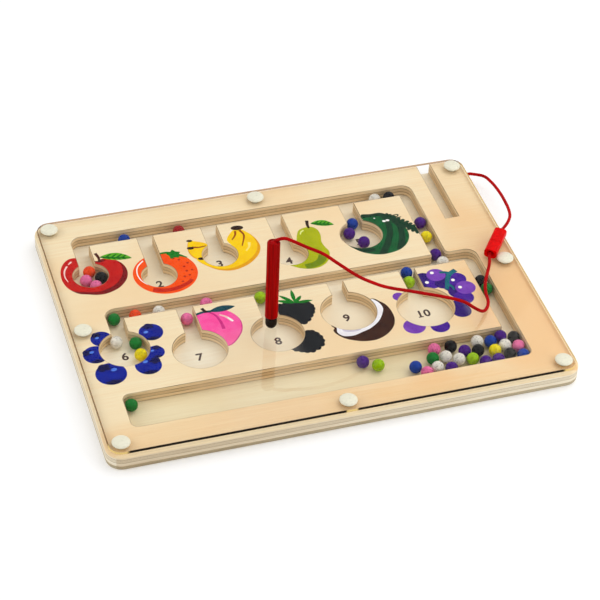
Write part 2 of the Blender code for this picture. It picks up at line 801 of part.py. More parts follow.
def pen(parts):
    frame = pen_frame(parts)
    bore = PEN_MAGNET_RADIUS + FIT_GAP
    bore_top = PEN_MAGNET_FLOOR + PEN_MAGNET_LENGTH + 2 * FIT_GAP
    socket = CORD_RADIUS + PEN_SOCKET_PLAY
    low = PEN_TIP_LENGTH + FIT_GAP
    body = [
        (0, PEN_LENGTH - PEN_SOCKET_DEPTH),
        (socket, PEN_LENGTH - PEN_SOCKET_DEPTH),
        (socket, PEN_LENGTH - PEN_SOCKET_FLARE_DEPTH),
        (socket + PEN_SOCKET_FLARE, PEN_LENGTH),
    ]
    body += quarter(PEN_RADIUS - PEN_SHOULDER, PEN_LENGTH - PEN_SHOULDER, PEN_SHOULDER, pi / 2)
    body += [(PEN_RADIUS, low), (bore, low), (bore, bore_top), (0, bore_top)]
    turned("pen_body", body, parts, "red_lacquer", frame, PEN_SEGMENTS)

    tip_radius = PEN_RADIUS - PEN_TIP_INSET
    dome = [
        (tip_radius * cos(angle), PEN_TIP_LENGTH / 2 * (1 - sin(angle)))
        for angle in (step * pi / 12 for step in range(7))
    ]
    tip = [(0, PEN_MAGNET_FLOOR), (bore, PEN_MAGNET_FLOOR), (bore, PEN_TIP_LENGTH)]
    tip += [(tip_radius, PEN_TIP_LENGTH)] + dome[:-1] + [(0, 0)]
    turned("pen_tip", tip, parts, "black_tip", frame, PEN_SEGMENTS)

    magnet_low = PEN_MAGNET_FLOOR + FIT_GAP
    magnet_high = magnet_low + PEN_MAGNET_LENGTH
    magnet = [
        (0, magnet_high),
        (PEN_MAGNET_RADIUS, magnet_high),
        (PEN_MAGNET_RADIUS, magnet_low),
        (0, magnet_low),
    ]
    turned("pen_magnet", magnet, parts, "magnet", frame, 16)
    return frame


def clasp_frame(parts):
    """An empty at the clasp's cord end, on its axis, with X running towards the socket half."""
    frame = bpy.data.objects.new("clasp_frame", None)
    parts.objects.link(frame)
    frame.location = clasp_start()
    frame.rotation_euler = (0, 0, CLASP_HEADING)
    return frame


def clasp_block(length):
    """A block along X whose long edges and ends are rounded."""
    bm = bmesh.new()
    bmesh.ops.create_cube(bm, size=1.0)
    bmesh.ops.scale(bm, vec=(length, CLASP_WIDTH, CLASP_HEIGHT), verts=bm.verts)
    lengthways = [e for e in bm.edges if abs(e.verts[0].co.x - e.verts[1].co.x) > length / 2]
    bmesh.ops.bevel(
        bm, geom=lengthways, offset=CLASP_ROUND, offset_type="OFFSET", segments=4, profile=0.5,
        affect="EDGES",
    )
    return bm


def clasp_mouth(name, radius, flare, depth, place, direction, cutters, frame):
    """A round or flared cord hole along X, its wide end at place, facing direction."""
    bm = bmesh.new()
    bmesh.ops.create_cone(
        bm, cap_ends=True, segments=16, radius1=radius, radius2=radius + flare, depth=depth,
    )
    bmesh.ops.rotate(bm, matrix=Matrix.Rotation(direction * pi / 2, 3, "Y"), verts=bm.verts)
    middle = place + direction * (FIT_GAP - depth / 2)
    tool = cutter(name, mesh_from(name, bm), (middle, 0, 0), cutters)
    tool.parent = frame
    return tool


def clasp(parts, cutters):
    frame = clasp_frame(parts)
    seam = CLASP_PLUG_LENGTH
    plug = object_from(
        "clasp_plug", mesh_from("clasp_plug", clasp_block(CLASP_PLUG_LENGTH)), parts,
        "red_plastic", frame,
    )
    plug.location = (CLASP_PLUG_LENGTH / 2, 0, 0)
    prong_length = CLASP_PRONG_LENGTH + CLASP_PLUG_LENGTH / 2
    prong = rounded_block(prong_length, CLASP_PRONG_WIDTH, CLASP_PRONG_HEIGHT, {})
    prong_tool = cutter(
        "clasp_prong", mesh_from("clasp_prong", prong),
        (seam + CLASP_PRONG_LENGTH - prong_length / 2, 0, 0), cutters,
    )
    prong_tool.parent = frame
    unite(plug, prong_tool)
    mouth = CORD_RADIUS + FIT_GAP
    cut(plug, clasp_mouth(
        "plug_mouth", mouth, CLASP_MOUTH_FLARE, CLASP_MOUTH_DEPTH, 0, -1, cutters, frame,
    ))

    socket_start = seam + FIT_GAP
    socket = object_from(
        "clasp_socket", mesh_from("clasp_socket", clasp_block(CLASP_SOCKET_LENGTH)), parts,
        "red_plastic", frame,
    )
    socket.location = (socket_start + CLASP_SOCKET_LENGTH / 2, 0, 0)
    room_length = CLASP_PRONG_LENGTH + FIT_GAP + CUT_OVERRUN
    room = rounded_block(
        room_length, CLASP_PRONG_WIDTH + 2 * FIT_GAP, CLASP_PRONG_HEIGHT + 2 * FIT_GAP, {}
    )
    room_tool = cutter(
        "clasp_room", mesh_from("clasp_room", room),
        (socket_start - CUT_OVERRUN + room_length / 2, 0, 0), cutters,
    )
    room_tool.parent = frame
    cut(socket, room_tool)
    socket_end = socket_start + CLASP_SOCKET_LENGTH
    cut(socket, clasp_mouth(
        "socket_mouth", mouth, CLASP_MOUTH_FLARE, CLASP_MOUTH_DEPTH, socket_end, 1, cutters, frame,
    ))
    return frame


def smooth_route(points, step):
    """Points a step apart on a smooth curve through these points."""
    points = [Vector(point) for point in points]
    padded = [2 * points[0] - points[1]] + points + [2 * points[-1] - points[-2]]
    fine = []
    for before, start, end, after in zip(padded, padded[1:], padded[2:], padded[3:]):
        for k in range(24):
            t = k / 24
            fine.append(
                start
                + (end - before) * t / 2
                + (2 * before - 5 * start + 4 * end - after) * t ** 2 / 2
                + (3 * start - before - 3 * end + after) * t ** 3 / 2
            )
    fine.append(points[-1])
    total = sum((b - a).length for a, b in zip(fine, fine[1:]))
    count = max(2, round(total / step))
    spaced = [fine[0]]
    travelled = 0.0
    for a, b in zip(fine, fine[1:]):
        travelled += (b - a).length
        if travelled >= len(spaced) * total / count and len(spaced) < count:
            spaced.append(b)
    return spaced + [fine[-1]]


def cord(name, points, parts, origin=Vector()):
    curve = bpy.data.curves.new(name, "CURVE")
    curve.dimensions = "3D"
    curve.bevel_depth = CORD_RADIUS
    curve.bevel_resolution = 2
    curve.use_fill_caps = True
    spline = curve.splines.new("POLY")
    spline.points.add(len(points) - 1)
    for point, place in zip(spline.points, points):
        point.co = (*(place - origin), 1)
    curve.materials.append(finish_named("red_cord"))
    obj = bpy.data.objects.new(name, curve)
    obj.location = origin
    parts.objects.link(obj)


def long_cord(parts, pen_at, clasp_at):
    """From the socket in the pen's top, along the route, into the clasp plug's mouth."""
    up = pen_at.matrix_world.to_3x3() @ Vector((0, 0, 1))
    foot = pen_at.matrix_world.translation
    inside = foot + up * (PEN_LENGTH - PEN_SOCKET_DEPTH + FIT_GAP)
    throat = foot + up * (PEN_LENGTH - PEN_SOCKET_FLARE_DEPTH)
    lip = (foot + up * PEN_LENGTH).lerp(Vector(LONG_CORD_ROUTE[0]), CORD_LIP_SHARE)
    heading = clasp_at.matrix_world.to_3x3() @ Vector((1, 0, 0))
    end = cord_end_in_plug()
    tail = [clasp_start() - heading * CLASP_MOUTH_DEPTH / 2, end]
    route = [inside, throat, lip, *LONG_CORD_ROUTE, *tail]
    cord("pen_cord", smooth_route(route, CORD_STEP), parts, end)


def short_cord(parts, clasp_at):
    """From the clasp socket's mouth, round the board's edge, into the hole in its side."""
    heading = clasp_at.matrix_world.to_3x3() @ Vector((1, 0, 0))
    far = CLASP_PLUG_LENGTH + FIT_GAP + CLASP_SOCKET_LENGTH
    start = clasp_at.matrix_world.translation + heading * far
    hole = cord_hole_centre()
    route = [
        start - heading * CLASP_MOUTH_DEPTH * 2 / 3,
        start + heading * CLASP_MOUTH_DEPTH / 2,
        *SHORT_CORD_ROUTE,
        hole + Vector((CORD_STEP, 0, 0)),
        hole,
        hole - Vector((CORD_HOLE_DEPTH - FIT_GAP, 0, 0)),
    ]
    cord("tether_cord", smooth_route(route, CORD_STEP), parts)


def main():
    clear_scene()
    parts = collection_named("magnetic_maze_board")
    cutters = collection_named("cutters")
    base_plate(parts)
    maze_layer(parts, cutters)
    cover_sheet(parts, cutters)
    rivets(parts)
    balls(parts, cutters)
    pen_at = pen(parts)
    clasp_at = clasp(parts, cutters)
    bpy.context.view_layer.update()
    long_cord(parts, pen_at, clasp_at)
    short_cord(parts, clasp_at)


main()
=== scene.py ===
import json
from math import cos, pi, radians, sin, sqrt

import bmesh
import bpy
from mathutils import Matrix, Vector
from mathutils.geometry import delaunay_2d_cdt


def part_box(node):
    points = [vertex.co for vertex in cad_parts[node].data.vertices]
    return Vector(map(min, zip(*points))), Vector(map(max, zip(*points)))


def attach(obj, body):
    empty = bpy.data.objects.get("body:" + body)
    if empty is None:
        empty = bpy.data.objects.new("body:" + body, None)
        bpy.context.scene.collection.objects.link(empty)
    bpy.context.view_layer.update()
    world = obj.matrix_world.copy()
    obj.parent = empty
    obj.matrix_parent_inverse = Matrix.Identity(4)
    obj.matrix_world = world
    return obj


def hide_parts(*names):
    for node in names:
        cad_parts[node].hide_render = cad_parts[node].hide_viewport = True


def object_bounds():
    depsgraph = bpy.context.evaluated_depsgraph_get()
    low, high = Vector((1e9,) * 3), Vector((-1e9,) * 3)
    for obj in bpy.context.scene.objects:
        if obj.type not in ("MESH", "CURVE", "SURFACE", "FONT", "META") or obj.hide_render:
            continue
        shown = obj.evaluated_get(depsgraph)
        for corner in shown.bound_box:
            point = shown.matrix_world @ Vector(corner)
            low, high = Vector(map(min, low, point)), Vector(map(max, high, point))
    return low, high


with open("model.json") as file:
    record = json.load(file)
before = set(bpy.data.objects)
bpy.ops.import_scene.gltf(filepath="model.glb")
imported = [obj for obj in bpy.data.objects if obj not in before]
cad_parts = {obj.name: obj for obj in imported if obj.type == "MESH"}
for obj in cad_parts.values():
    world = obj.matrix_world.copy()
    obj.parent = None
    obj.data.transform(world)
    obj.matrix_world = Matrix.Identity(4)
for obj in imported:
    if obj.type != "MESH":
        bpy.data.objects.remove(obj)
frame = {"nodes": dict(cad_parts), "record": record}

CAD_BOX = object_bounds()

# The board's own sizes, from the frame
BASE_LOW, BASE_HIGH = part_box("base_plate")
COVER_LOW, COVER_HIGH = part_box("cover_sheet")
(LEFT, FRONT, MAZE_BOTTOM), (RIGHT, BACK, MAZE_TOP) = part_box("maze_layer")
BOARD_LENGTH = RIGHT - LEFT
BOARD_WIDTH = BACK - FRONT
COVER_TOP = COVER_HIGH.z
BALL_LOW, BALL_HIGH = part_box("ball_top_1")
BALL_DIAMETER = BALL_HIGH.z - BALL_LOW.z
BALL_RADIUS = BALL_DIAMETER / 2
BALL_Z = (BALL_HIGH.z + BALL_LOW.z) / 2
RIVETS = 8

# Sizes that part.py names too
BOARD_CORNER = 0.010
EDGE_ROUND = 0.0015
FIT_GAP = 0.0003
TRACK_WIDTH = BALL_DIAMETER + 0.0018
NECK_WIDTH = BALL_DIAMETER + 0.0025
TRACK_CORNER = 0.007
RESERVOIR_CORNER = 0.0045
STEP_ROUND = 0.003
CUT_OVERRUN = 0.002
TOP_TRACK_FROM_BACK = 0.0183
TOP_TRACK_FROM_LEFT = 0.0211
UPPER_DROP_FROM_RIGHT = 0.0440
MIDDLE_TRACK_FROM_BACK = 0.0922
MIDDLE_TRACK_FROM_LEFT = 0.0265
LOWER_DROP_FROM_RIGHT = 0.0246
RESERVOIR_FROM_FRONT = 0.0225
RESERVOIR_FROM_LEFT = 0.0198
RESERVOIR_DEPTH = 0.0282
PEN_SLOT_FROM_RIGHT = 0.0224
PEN_SLOT_LENGTH = 0.0588
PEN_SLOT_WIDTH = 0.0095
# Pockets 1 to 10: centre as a share of the board's length from its middle, then of its row's
# depth, radius in balls, and the neck's offset as a share of its width
POCKET_SHARES = (
    (-0.412, 0.546, 1.430, 0.00),
    (-0.270, 0.381, 1.430, 0.00),
    (-0.126, 0.539, 1.457, 0.00),
    (0.023, 0.381, 1.457, 0.02),
    (0.193, 0.491, 1.760, 0.00),
    (-0.396, 0.590, 1.952, 0.05),
    (-0.246, 0.413, 2.145, 0.02),
    (-0.077, 0.443, 2.090, 0.03),
    (0.088, 0.571, 2.227, -0.02),
    (0.251, 0.446, 2.310, -0.02),
)
POCKETS_ON_TOP_TRACK = 5
# Balls of one solid in the heap, from front to back
HEAP_COLOURS = {
    "ball_heap_1": ("pink", "white", "blue"),
    "ball_heap_2": ("white", "green", "pink"),
    "ball_heap_3": ("purple",),
    "ball_heap_4": ("white",),
    "ball_heap_5": ("lime", "purple", "black"),
    "ball_heap_6": ("black", "white"),
    "ball_heap_7": ("purple", "purple"),
    "ball_heap_8": ("yellow", "blue"),
    "ball_heap_9": ("black", "white"),
    "ball_heap_10": ("blue", "pink", "black", "purple"),
}

# Pen, clasp and cords
PEN_LENGTH = 0.0620
PEN_RADIUS = 0.0041
PEN_SHOULDER = 0.0011
PEN_BEVEL = 0.0003
PEN_TIP_LENGTH = 0.0079
PEN_TIP_INSET = 0.0004
PEN_TIP_BEVEL = 0.0002
PEN_SOCKET_DEPTH = 0.0055
PEN_SOCKET_RADIUS = 0.0016
PEN_SOCKET_FLARE = 0.0013
PEN_SOCKET_FLARE_DEPTH = 0.0030
PEN_FOOT_SHARES = (-0.0893, -0.1195)
PEN_LEAN_SHARES = (0.0460, 0.1670)
# The cord's knot in the pen's mouth: its radius, its height and how far it sinks
PEN_KNOT_SHARES = (0.66, 0.55, 0.50)
CORD_LIP_SHARE = 0.20
CORD_DIAMETER = 0.0022
CORD_RADIUS = CORD_DIAMETER / 2
CLASP_HEIGHT = 0.0066
CLASP_PLUG_LENGTH = 0.0105
CLASP_SOCKET_LENGTH = 0.0132
CLASP_MOUTH_DEPTH = 0.0030
CLASP_START_SHARES = (0.4363, 0.0132)
CLASP_HEADING = radians(52.6)
CORD_HOLE_DEPTH = 0.0060
CORD_HOLE_FROM_BACK = 0.0130
RIVET_BORE = 0.0028
CORD_STEP = 0.0030
LONG_CORD_ROUTE = (
    (-0.0180, -0.0175, 0.0772),
    (-0.0132, -0.0203, 0.0764),
    (-0.0060, -0.0244, 0.0737),
    (0.0035, -0.0294, 0.0703),
    (0.0112, -0.0340, 0.0653),
    (0.0225, -0.0391, 0.0571),
    (0.0310, -0.0411, 0.0518),
    (0.0417, -0.0434, 0.0468),
    (0.0589, -0.0457, 0.0413),
    (0.0808, -0.0492, 0.0346),
    (0.0915, -0.0507, 0.0299),
    (0.0983, -0.0523, 0.0248),
    (0.1046, -0.0504, 0.0190),
    (0.1098, -0.0455, 0.0156),
    (0.1137, -0.0389, 0.0149),
    (0.1154, -0.0300, 0.0149),
    (0.1186, -0.0210, 0.0149),
    (0.1229, -0.0130, 0.0151),
    (0.1272, -0.0054, 0.0158),
)
SHORT_CORD_ROUTE = (
    (0.1500, 0.0263, 0.0171),
    (0.1545, 0.0312, 0.0168),
    (0.1584, 0.0376, 0.0162),
    (0.1606, 0.0455, 0.0152),
    (0.1620, 0.0545, 0.0138),
    (0.1630, 0.0640, 0.0123),
    (0.1634, 0.0739, 0.0107),
    (0.1630, 0.0832, 0.0092),
    (0.1608, 0.0914, 0.0081),
)
PEN_FOOT = Vector((
    PEN_FOOT_SHARES[0] * BOARD_LENGTH, PEN_FOOT_SHARES[1] * BOARD_WIDTH, COVER_TOP + FIT_GAP,
))
PEN_UP = Vector((
    *PEN_LEAN_SHARES, sqrt(1 - PEN_LEAN_SHARES[0] ** 2 - PEN_LEAN_SHARES[1] ** 2),
))
CLASP_START = Vector((
    CLASP_START_SHARES[0] * BOARD_LENGTH, CLASP_START_SHARES[1] * BOARD_WIDTH,
    COVER_TOP + FIT_GAP + CLASP_HEIGHT / 2,
))
CLASP_AHEAD = Vector((cos(CLASP_HEADING), sin(CLASP_HEADING), 0))

# Camera
CAMERA_PLACE = (-0.32974, -0.94522, 0.89295)
CAMERA_AIM = (0.0036, 0.0086, 0.0)
CAMERA_ROLL = radians(3.207)
CAMERA_LENS = 125.67

# Finer detail of the looks
CUT_ROUND = 0.00035
ROUND_STEPS = 4
POCKET_SEGMENTS = 96
EDGE_STEP = 0.004
PLY = 0.00263
CLASP_EDGE = 0.0004
FLOOR_REACH = 4.0
FLOOR_DROP = 0.0002
# A cap's rim and lip as shares of its height, its dome and shank as shares of its radius
CAP_RIM_SHARE = 0.30
CAP_LIP_SHARE = 0.16
CAP_DOME_SHARE = 0.97
CAP_SHANK_SHARE = 0.44
DIGIT_HEIGHT = 0.0061
DIGIT_SWELL = DIGIT_HEIGHT * 0.020
DIGIT_SPACE = DIGIT_HEIGHT * 0.16
DIGIT_LIFT = 0.00004
DIGIT_RISE = 0.0016
DIGIT_FOOT_SHARES = (0.52, 0.15)
# Each number's place, from 1 to 10, as shares of its pocket's radius from its centre
DIGIT_SHARES = (
    (0.00, 0.00), (0.03, -0.12), (0.00, -0.14), (0.00, 0.02), (-0.02, 0.00),
    (0.03, -0.03), (0.02, -0.03), (0.05, -0.04), (-0.01, 0.03), (0.01, 0.04),
)
CORD_TURNS = 12
CORD_RING_STEP = 0.00045
BRAID_PITCH = 0.0032
BRAID_DEPTH = 0.00006

# The cover's patches of raised gloss, a painted reflection strength placed where it mirrors the pen,
# the cord's far run and the cord's bend: each one's strength, then its limits, as an axis and two
# shares of the board's size, from none to full
MIRROR_PATCH_SHARES = (
    (1.0, ((0, -0.2933, -0.2067), (0, -0.0267, -0.0733), (1, -0.0545, -0.1591))),
    (0.5, ((0, -0.3333, -0.2667), (0, 0.1000, 0.0333), (1, -0.2364, -0.2909))),
    (1.0, ((0, 0.3167, 0.3367), (0, 0.3867, 0.3667), (1, -0.1364, -0.1727), (1, -0.2909, -0.2727))),
)
# The cover's gloss strength away from those patches and inside them: painted reflection strength
COVER_MIRROR_STRENGTH = (0.26, 1.55)
COVER_GLOSS_TINT = (1, 0.95, 0.87, 1)
# The cover's painted shade line along its front edge: where it starts beside the middle cap and ends
# before the corners
SHADE_LINE_START = (0.0028, 0.0046)
SHADE_LINE_END = (0.1390, 0.1362)
# How far in from the cover's sides their strips reach, painted shade at the front and painted edge
# colour at the left and right, from none to full
FRONT_STRIP = (0.0005, 0.0002)
LEFT_STRIP = (0.0007, 0.0004)
RIGHT_STRIP = (-0.0010, -0.0004)
# Where the painted yellow glow on the cover's edges fades in from the front, and the band above the
# edges' foot that takes their painted colour
CORNER_GLOW = (0.010, 0.006)
EDGE_BAND = (0.0002, 0.0006)
# Where the wood under the cover turns warm, from none to full: inward from the board's right and
# front edge, how that spreads along each edge, and how far the limits wander
WARM_FROM_RIGHT = (-0.062, -0.020)
WARM_FROM_FRONT = (0.042, 0.014)
WARM_ALONG_RIGHT = (0.085, 0.010)
WARM_FROM_LEFT = 0.020
WARM_DRIFT = 0.016
COVERED_FADE = 0.001
RESERVOIR_FADE = 0.004
GLUE_WANDER = 0.0002
# Each ball's turn and its tilt: a start in radians, and radians for each metre along the board
BALL_TURN = (0.7, 37)
BALL_TILT = (1.1, 53)

# The floor's white as light meets it and as the view meets it, its own light, and the room's light
# as the board meets it and as the view meets it
FLOOR_WHITES = ((0.93, 0.93, 0.93, 1), (0.78, 0.78, 0.78, 1))
FLOOR_LIFT = 0.29
ROOM_LIGHT = (0.62, 1.0)

# Colours, as red, green and blue of 0 to 255 on a screen
BALL_COLOURS = {
    "red": (168, 14, 18), "orange": (250, 74, 20), "yellow": (248, 228, 0),
    "lime": (158, 200, 8), "green": (0, 122, 38), "blue": (2, 58, 158),
    "pink": (240, 114, 166), "black": (8, 8, 12), "white": (238, 232, 218),
    "purple": (70, 8, 128),
}
# Each ink where it lies thick and where it lies thin
INKS = {
    "apple_red": ((184, 4, 10), (198, 20, 14)),
    "apple_dark": ((112, 2, 10), (128, 8, 12)),
    "apple_pale": ((246, 196, 188), (250, 212, 204)),
    "stem_brown": ((52, 6, 4), (74, 20, 12)),
    "leaf_green": ((82, 168, 20), (106, 188, 48)),
    "leaf_dark": ((4, 100, 0), (16, 114, 6)),
    "orange": ((246, 74, 0), (250, 84, 4)),
    "orange_dark": ((194, 28, 6), (204, 38, 10)),
    "orange_dot": ((170, 24, 4), (180, 30, 6)),
    "calyx_green": ((0, 108, 20), (6, 122, 28)),
    "paper_white": ((252, 246, 240), (255, 250, 246)),
    "banana": ((248, 198, 0), (252, 210, 2)),
    "banana_dark": ((226, 156, 4), (234, 166, 8)),
    "banana_pale": ((252, 226, 110), (254, 232, 130)),
    "banana_line": ((140, 58, 4), (156, 70, 8)),
    "tip_black": ((30, 10, 4), (48, 24, 12)),
    "pear": ((164, 172, 0), (176, 182, 4)),
    "pear_dark": ((102, 128, 0), (114, 138, 4)),
    "pear_pale": ((224, 232, 130), (234, 240, 150)),
    "melon": ((0, 80, 38), (4, 92, 46)),
    "melon_dark": ((0, 46, 26), (2, 56, 32)),
    "navy": ((0, 18, 130), (2, 30, 150)),
    "navy_dark": ((0, 0, 58), (2, 4, 76)),
    "navy_pale": ((74, 120, 220), (96, 142, 232)),
    "peach": ((254, 76, 160), (255, 92, 170)),
    "peach_dark": ((204, 34, 124), (214, 48, 136)),
    "teal_dark": ((6, 58, 72), (12, 70, 82)),
    "berry_black": ((12, 16, 22), (18, 22, 28)),
    "coconut_shell": ((46, 16, 6), (60, 28, 14)),
    "coconut_milk": ((240, 236, 240), (250, 248, 250)),
    "coconut_shade": ((206, 200, 216), (216, 210, 224)),
    "grape": ((62, 16, 140), (76, 28, 152)),
    "grape_dark": ((38, 6, 102), (48, 14, 116)),
    "grape_light": ((114, 56, 172), (128, 70, 184)),
    "teal": ((8, 92, 106), (18, 106, 118)),
}


def screen(red, green, blue):
    """The linear colour of these 0 to 255 screen values."""
    def linear(value):
        value /= 255
        return value / 12.92 if value <= 0.04045 else ((value + 0.055) / 1.055) ** 2.4
    return (linear(red), linear(green), linear(blue), 1.0)


# Objects and smooth lines
def linked(name, data):
    obj = bpy.data.objects.new(name, data)
    bpy.context.scene.collection.objects.link(obj)
    return obj


def mesh_object(name, bm, smooth=None):
    """The mesh as an object, all smooth, all flat, or as its faces say."""
    mesh = bpy.data.meshes.new(name)
    bm.to_mesh(mesh)
    bm.free()
    if smooth is not None:
        for face in mesh.polygons:
            face.use_smooth = smooth
    return linked(name, mesh)


def dress(obj, materials, body, node=None):
    """The piece in its materials, on the body that it moves with, in place of its CAD node."""
    for material in materials:
        obj.data.materials.append(material)
    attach(obj, body)
    if node:
        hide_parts(node)


def aimed(place, aim):
    """The matrix of a camera or lamp at this place that looks at its aim."""
    place = Vector(place)
    turn = (Vector(aim) - place).to_track_quat("-Z", "Y").to_matrix().to_4x4()
    return Matrix.Translation(place) @ turn


def camera():
    made = linked("camera", bpy.data.cameras.new("camera"))
    made.data.lens = CAMERA_LENS
    made.data.sensor_width = 36
    made.data.clip_end = 20
    made.matrix_world = aimed(CAMERA_PLACE, CAMERA_AIM) @ Matrix.Rotation(CAMERA_ROLL, 4, "Z")
    bpy.context.scene.camera = made


def curved(before, start, end, after, count):
    """Points from start up to end, on a smooth curve through all four."""
    return [
        start
        + (end - before) * t / 2
        + (2 * before - 5 * start + 4 * end - after) * t ** 2 / 2
        + (3 * start - before - 3 * end + after) * t ** 3 / 2
        for t in (k / count for k in range(count))
    ]


def smooth_line(points, count_of):
    """A smooth line through these points, each stretch with as many points as its length gives."""
    points = [Vector(point) for point in points]
    padded = [2 * points[0] - points[1]] + points + [2 * points[-1] - points[-2]]
    line = []
    for four in zip(padded, padded[1:], padded[2:], padded[3:]):
        line += curved(*four, count_of((four[2] - four[1]).length))
    return line + [points[-1]]


def ahead_at(line, index):
    return line[min(index + 1, len(line) - 1)] - line[max(index - 1, 0)]


def route_length(route):
    return sum((b - a).length for a, b in zip(route, route[1:]))


# Cords
def smooth_route(points):
    """Points a cord's step apart on a smooth curve through these points."""
    fine = smooth_line(points, lambda length: 24)
    total = route_length(fine)
    count = max(2, round(total / CORD_STEP))
    spaced = [fine[0]]
    travelled = 0.0
    for a, b in zip(fine, fine[1:]):
        travelled += (b - a).length
        if travelled >= len(spaced) * total / count and len(spaced) < count:
            spaced.append(b)
    return spaced + [fine[-1]]


def braided_tube(name, route):
    """A tube round this route with a diamond braid in its surface."""
    line = smooth_line(route, lambda length: max(1, round(length / CORD_RING_STEP)))
    bm = bmesh.new()
    rings = []
    side = (line[1] - line[0]).orthogonal().normalized()
    travelled = 0.0
    for index, point in enumerate(line):
        ahead = ahead_at(line, index).normalized()
        side = (side - ahead * side.dot(ahead)).normalized()
        across = ahead.cross(side)
        if index:
            travelled += (point - line[index - 1]).length
        wave = 2 * pi * travelled / BRAID_PITCH
        ring = []
        for k in range(CORD_TURNS):
            angle = 2 * pi * k / CORD_TURNS
            relief = abs(sin(3 * angle + wave)) + abs(sin(3 * angle - wave)) - 1
            radius = CORD_RADIUS - BRAID_DEPTH + BRAID_DEPTH * relief
            ring.append(bm.verts.new(point + (side * cos(angle) + across * sin(angle)) * radius))
        rings.append(ring)
    for ring, after in zip(rings, rings[1:]):
        for k in range(CORD_TURNS):
            j = (k + 1) % CORD_TURNS
            bm.faces.new((ring[k], ring[j], after[j], after[k]))
    bm.faces.new(list(reversed(rings[0])))
    bm.faces.new(rings[-1])
    return mesh_object(name, bm, True)


def long_cord_route():
    return smooth_route([
        PEN_FOOT + PEN_UP * (PEN_LENGTH - PEN_SOCKET_DEPTH + FIT_GAP),
        PEN_FOOT + PEN_UP * (PEN_LENGTH - PEN_SOCKET_FLARE_DEPTH),
        (PEN_FOOT + PEN_UP * PEN_LENGTH).lerp(Vector(LONG_CORD_ROUTE[0]), CORD_LIP_SHARE),
        *LONG_CORD_ROUTE,
        CLASP_START - CLASP_AHEAD * CLASP_MOUTH_DEPTH / 2,
        CLASP_START + CLASP_AHEAD * CLASP_MOUTH_DEPTH * 2 / 3,
    ])


def short_cord_route():
    """From the hole in the board's side to the clasp."""
    start = CLASP_START + CLASP_AHEAD * (CLASP_PLUG_LENGTH + FIT_GAP + CLASP_SOCKET_LENGTH)
    hole = Vector((RIGHT, BACK - CORD_HOLE_FROM_BACK, (MAZE_BOTTOM + MAZE_TOP) / 2))
    return smooth_route([
        start - CLASP_AHEAD * CLASP_MOUTH_DEPTH * 2 / 3,
        start + CLASP_AHEAD * CLASP_MOUTH_DEPTH / 2,
        *SHORT_CORD_ROUTE,
        hole + Vector((CORD_STEP, 0, 0)),
        hole,
        hole - Vector((CORD_HOLE_DEPTH - FIT_GAP, 0, 0)),
    ])[::-1]


def cords(material):
    for name, route, body, node, piece in (
        ("braided_pen_cord", long_cord_route(), "pen", "pen_cord", "clasp_plug"),
        ("braided_tether", short_cord_route(), "board", "tether_cord", "clasp_socket"),
    ):
        obj = braided_tube(name, route)
        dress(obj, (material,), body, node)


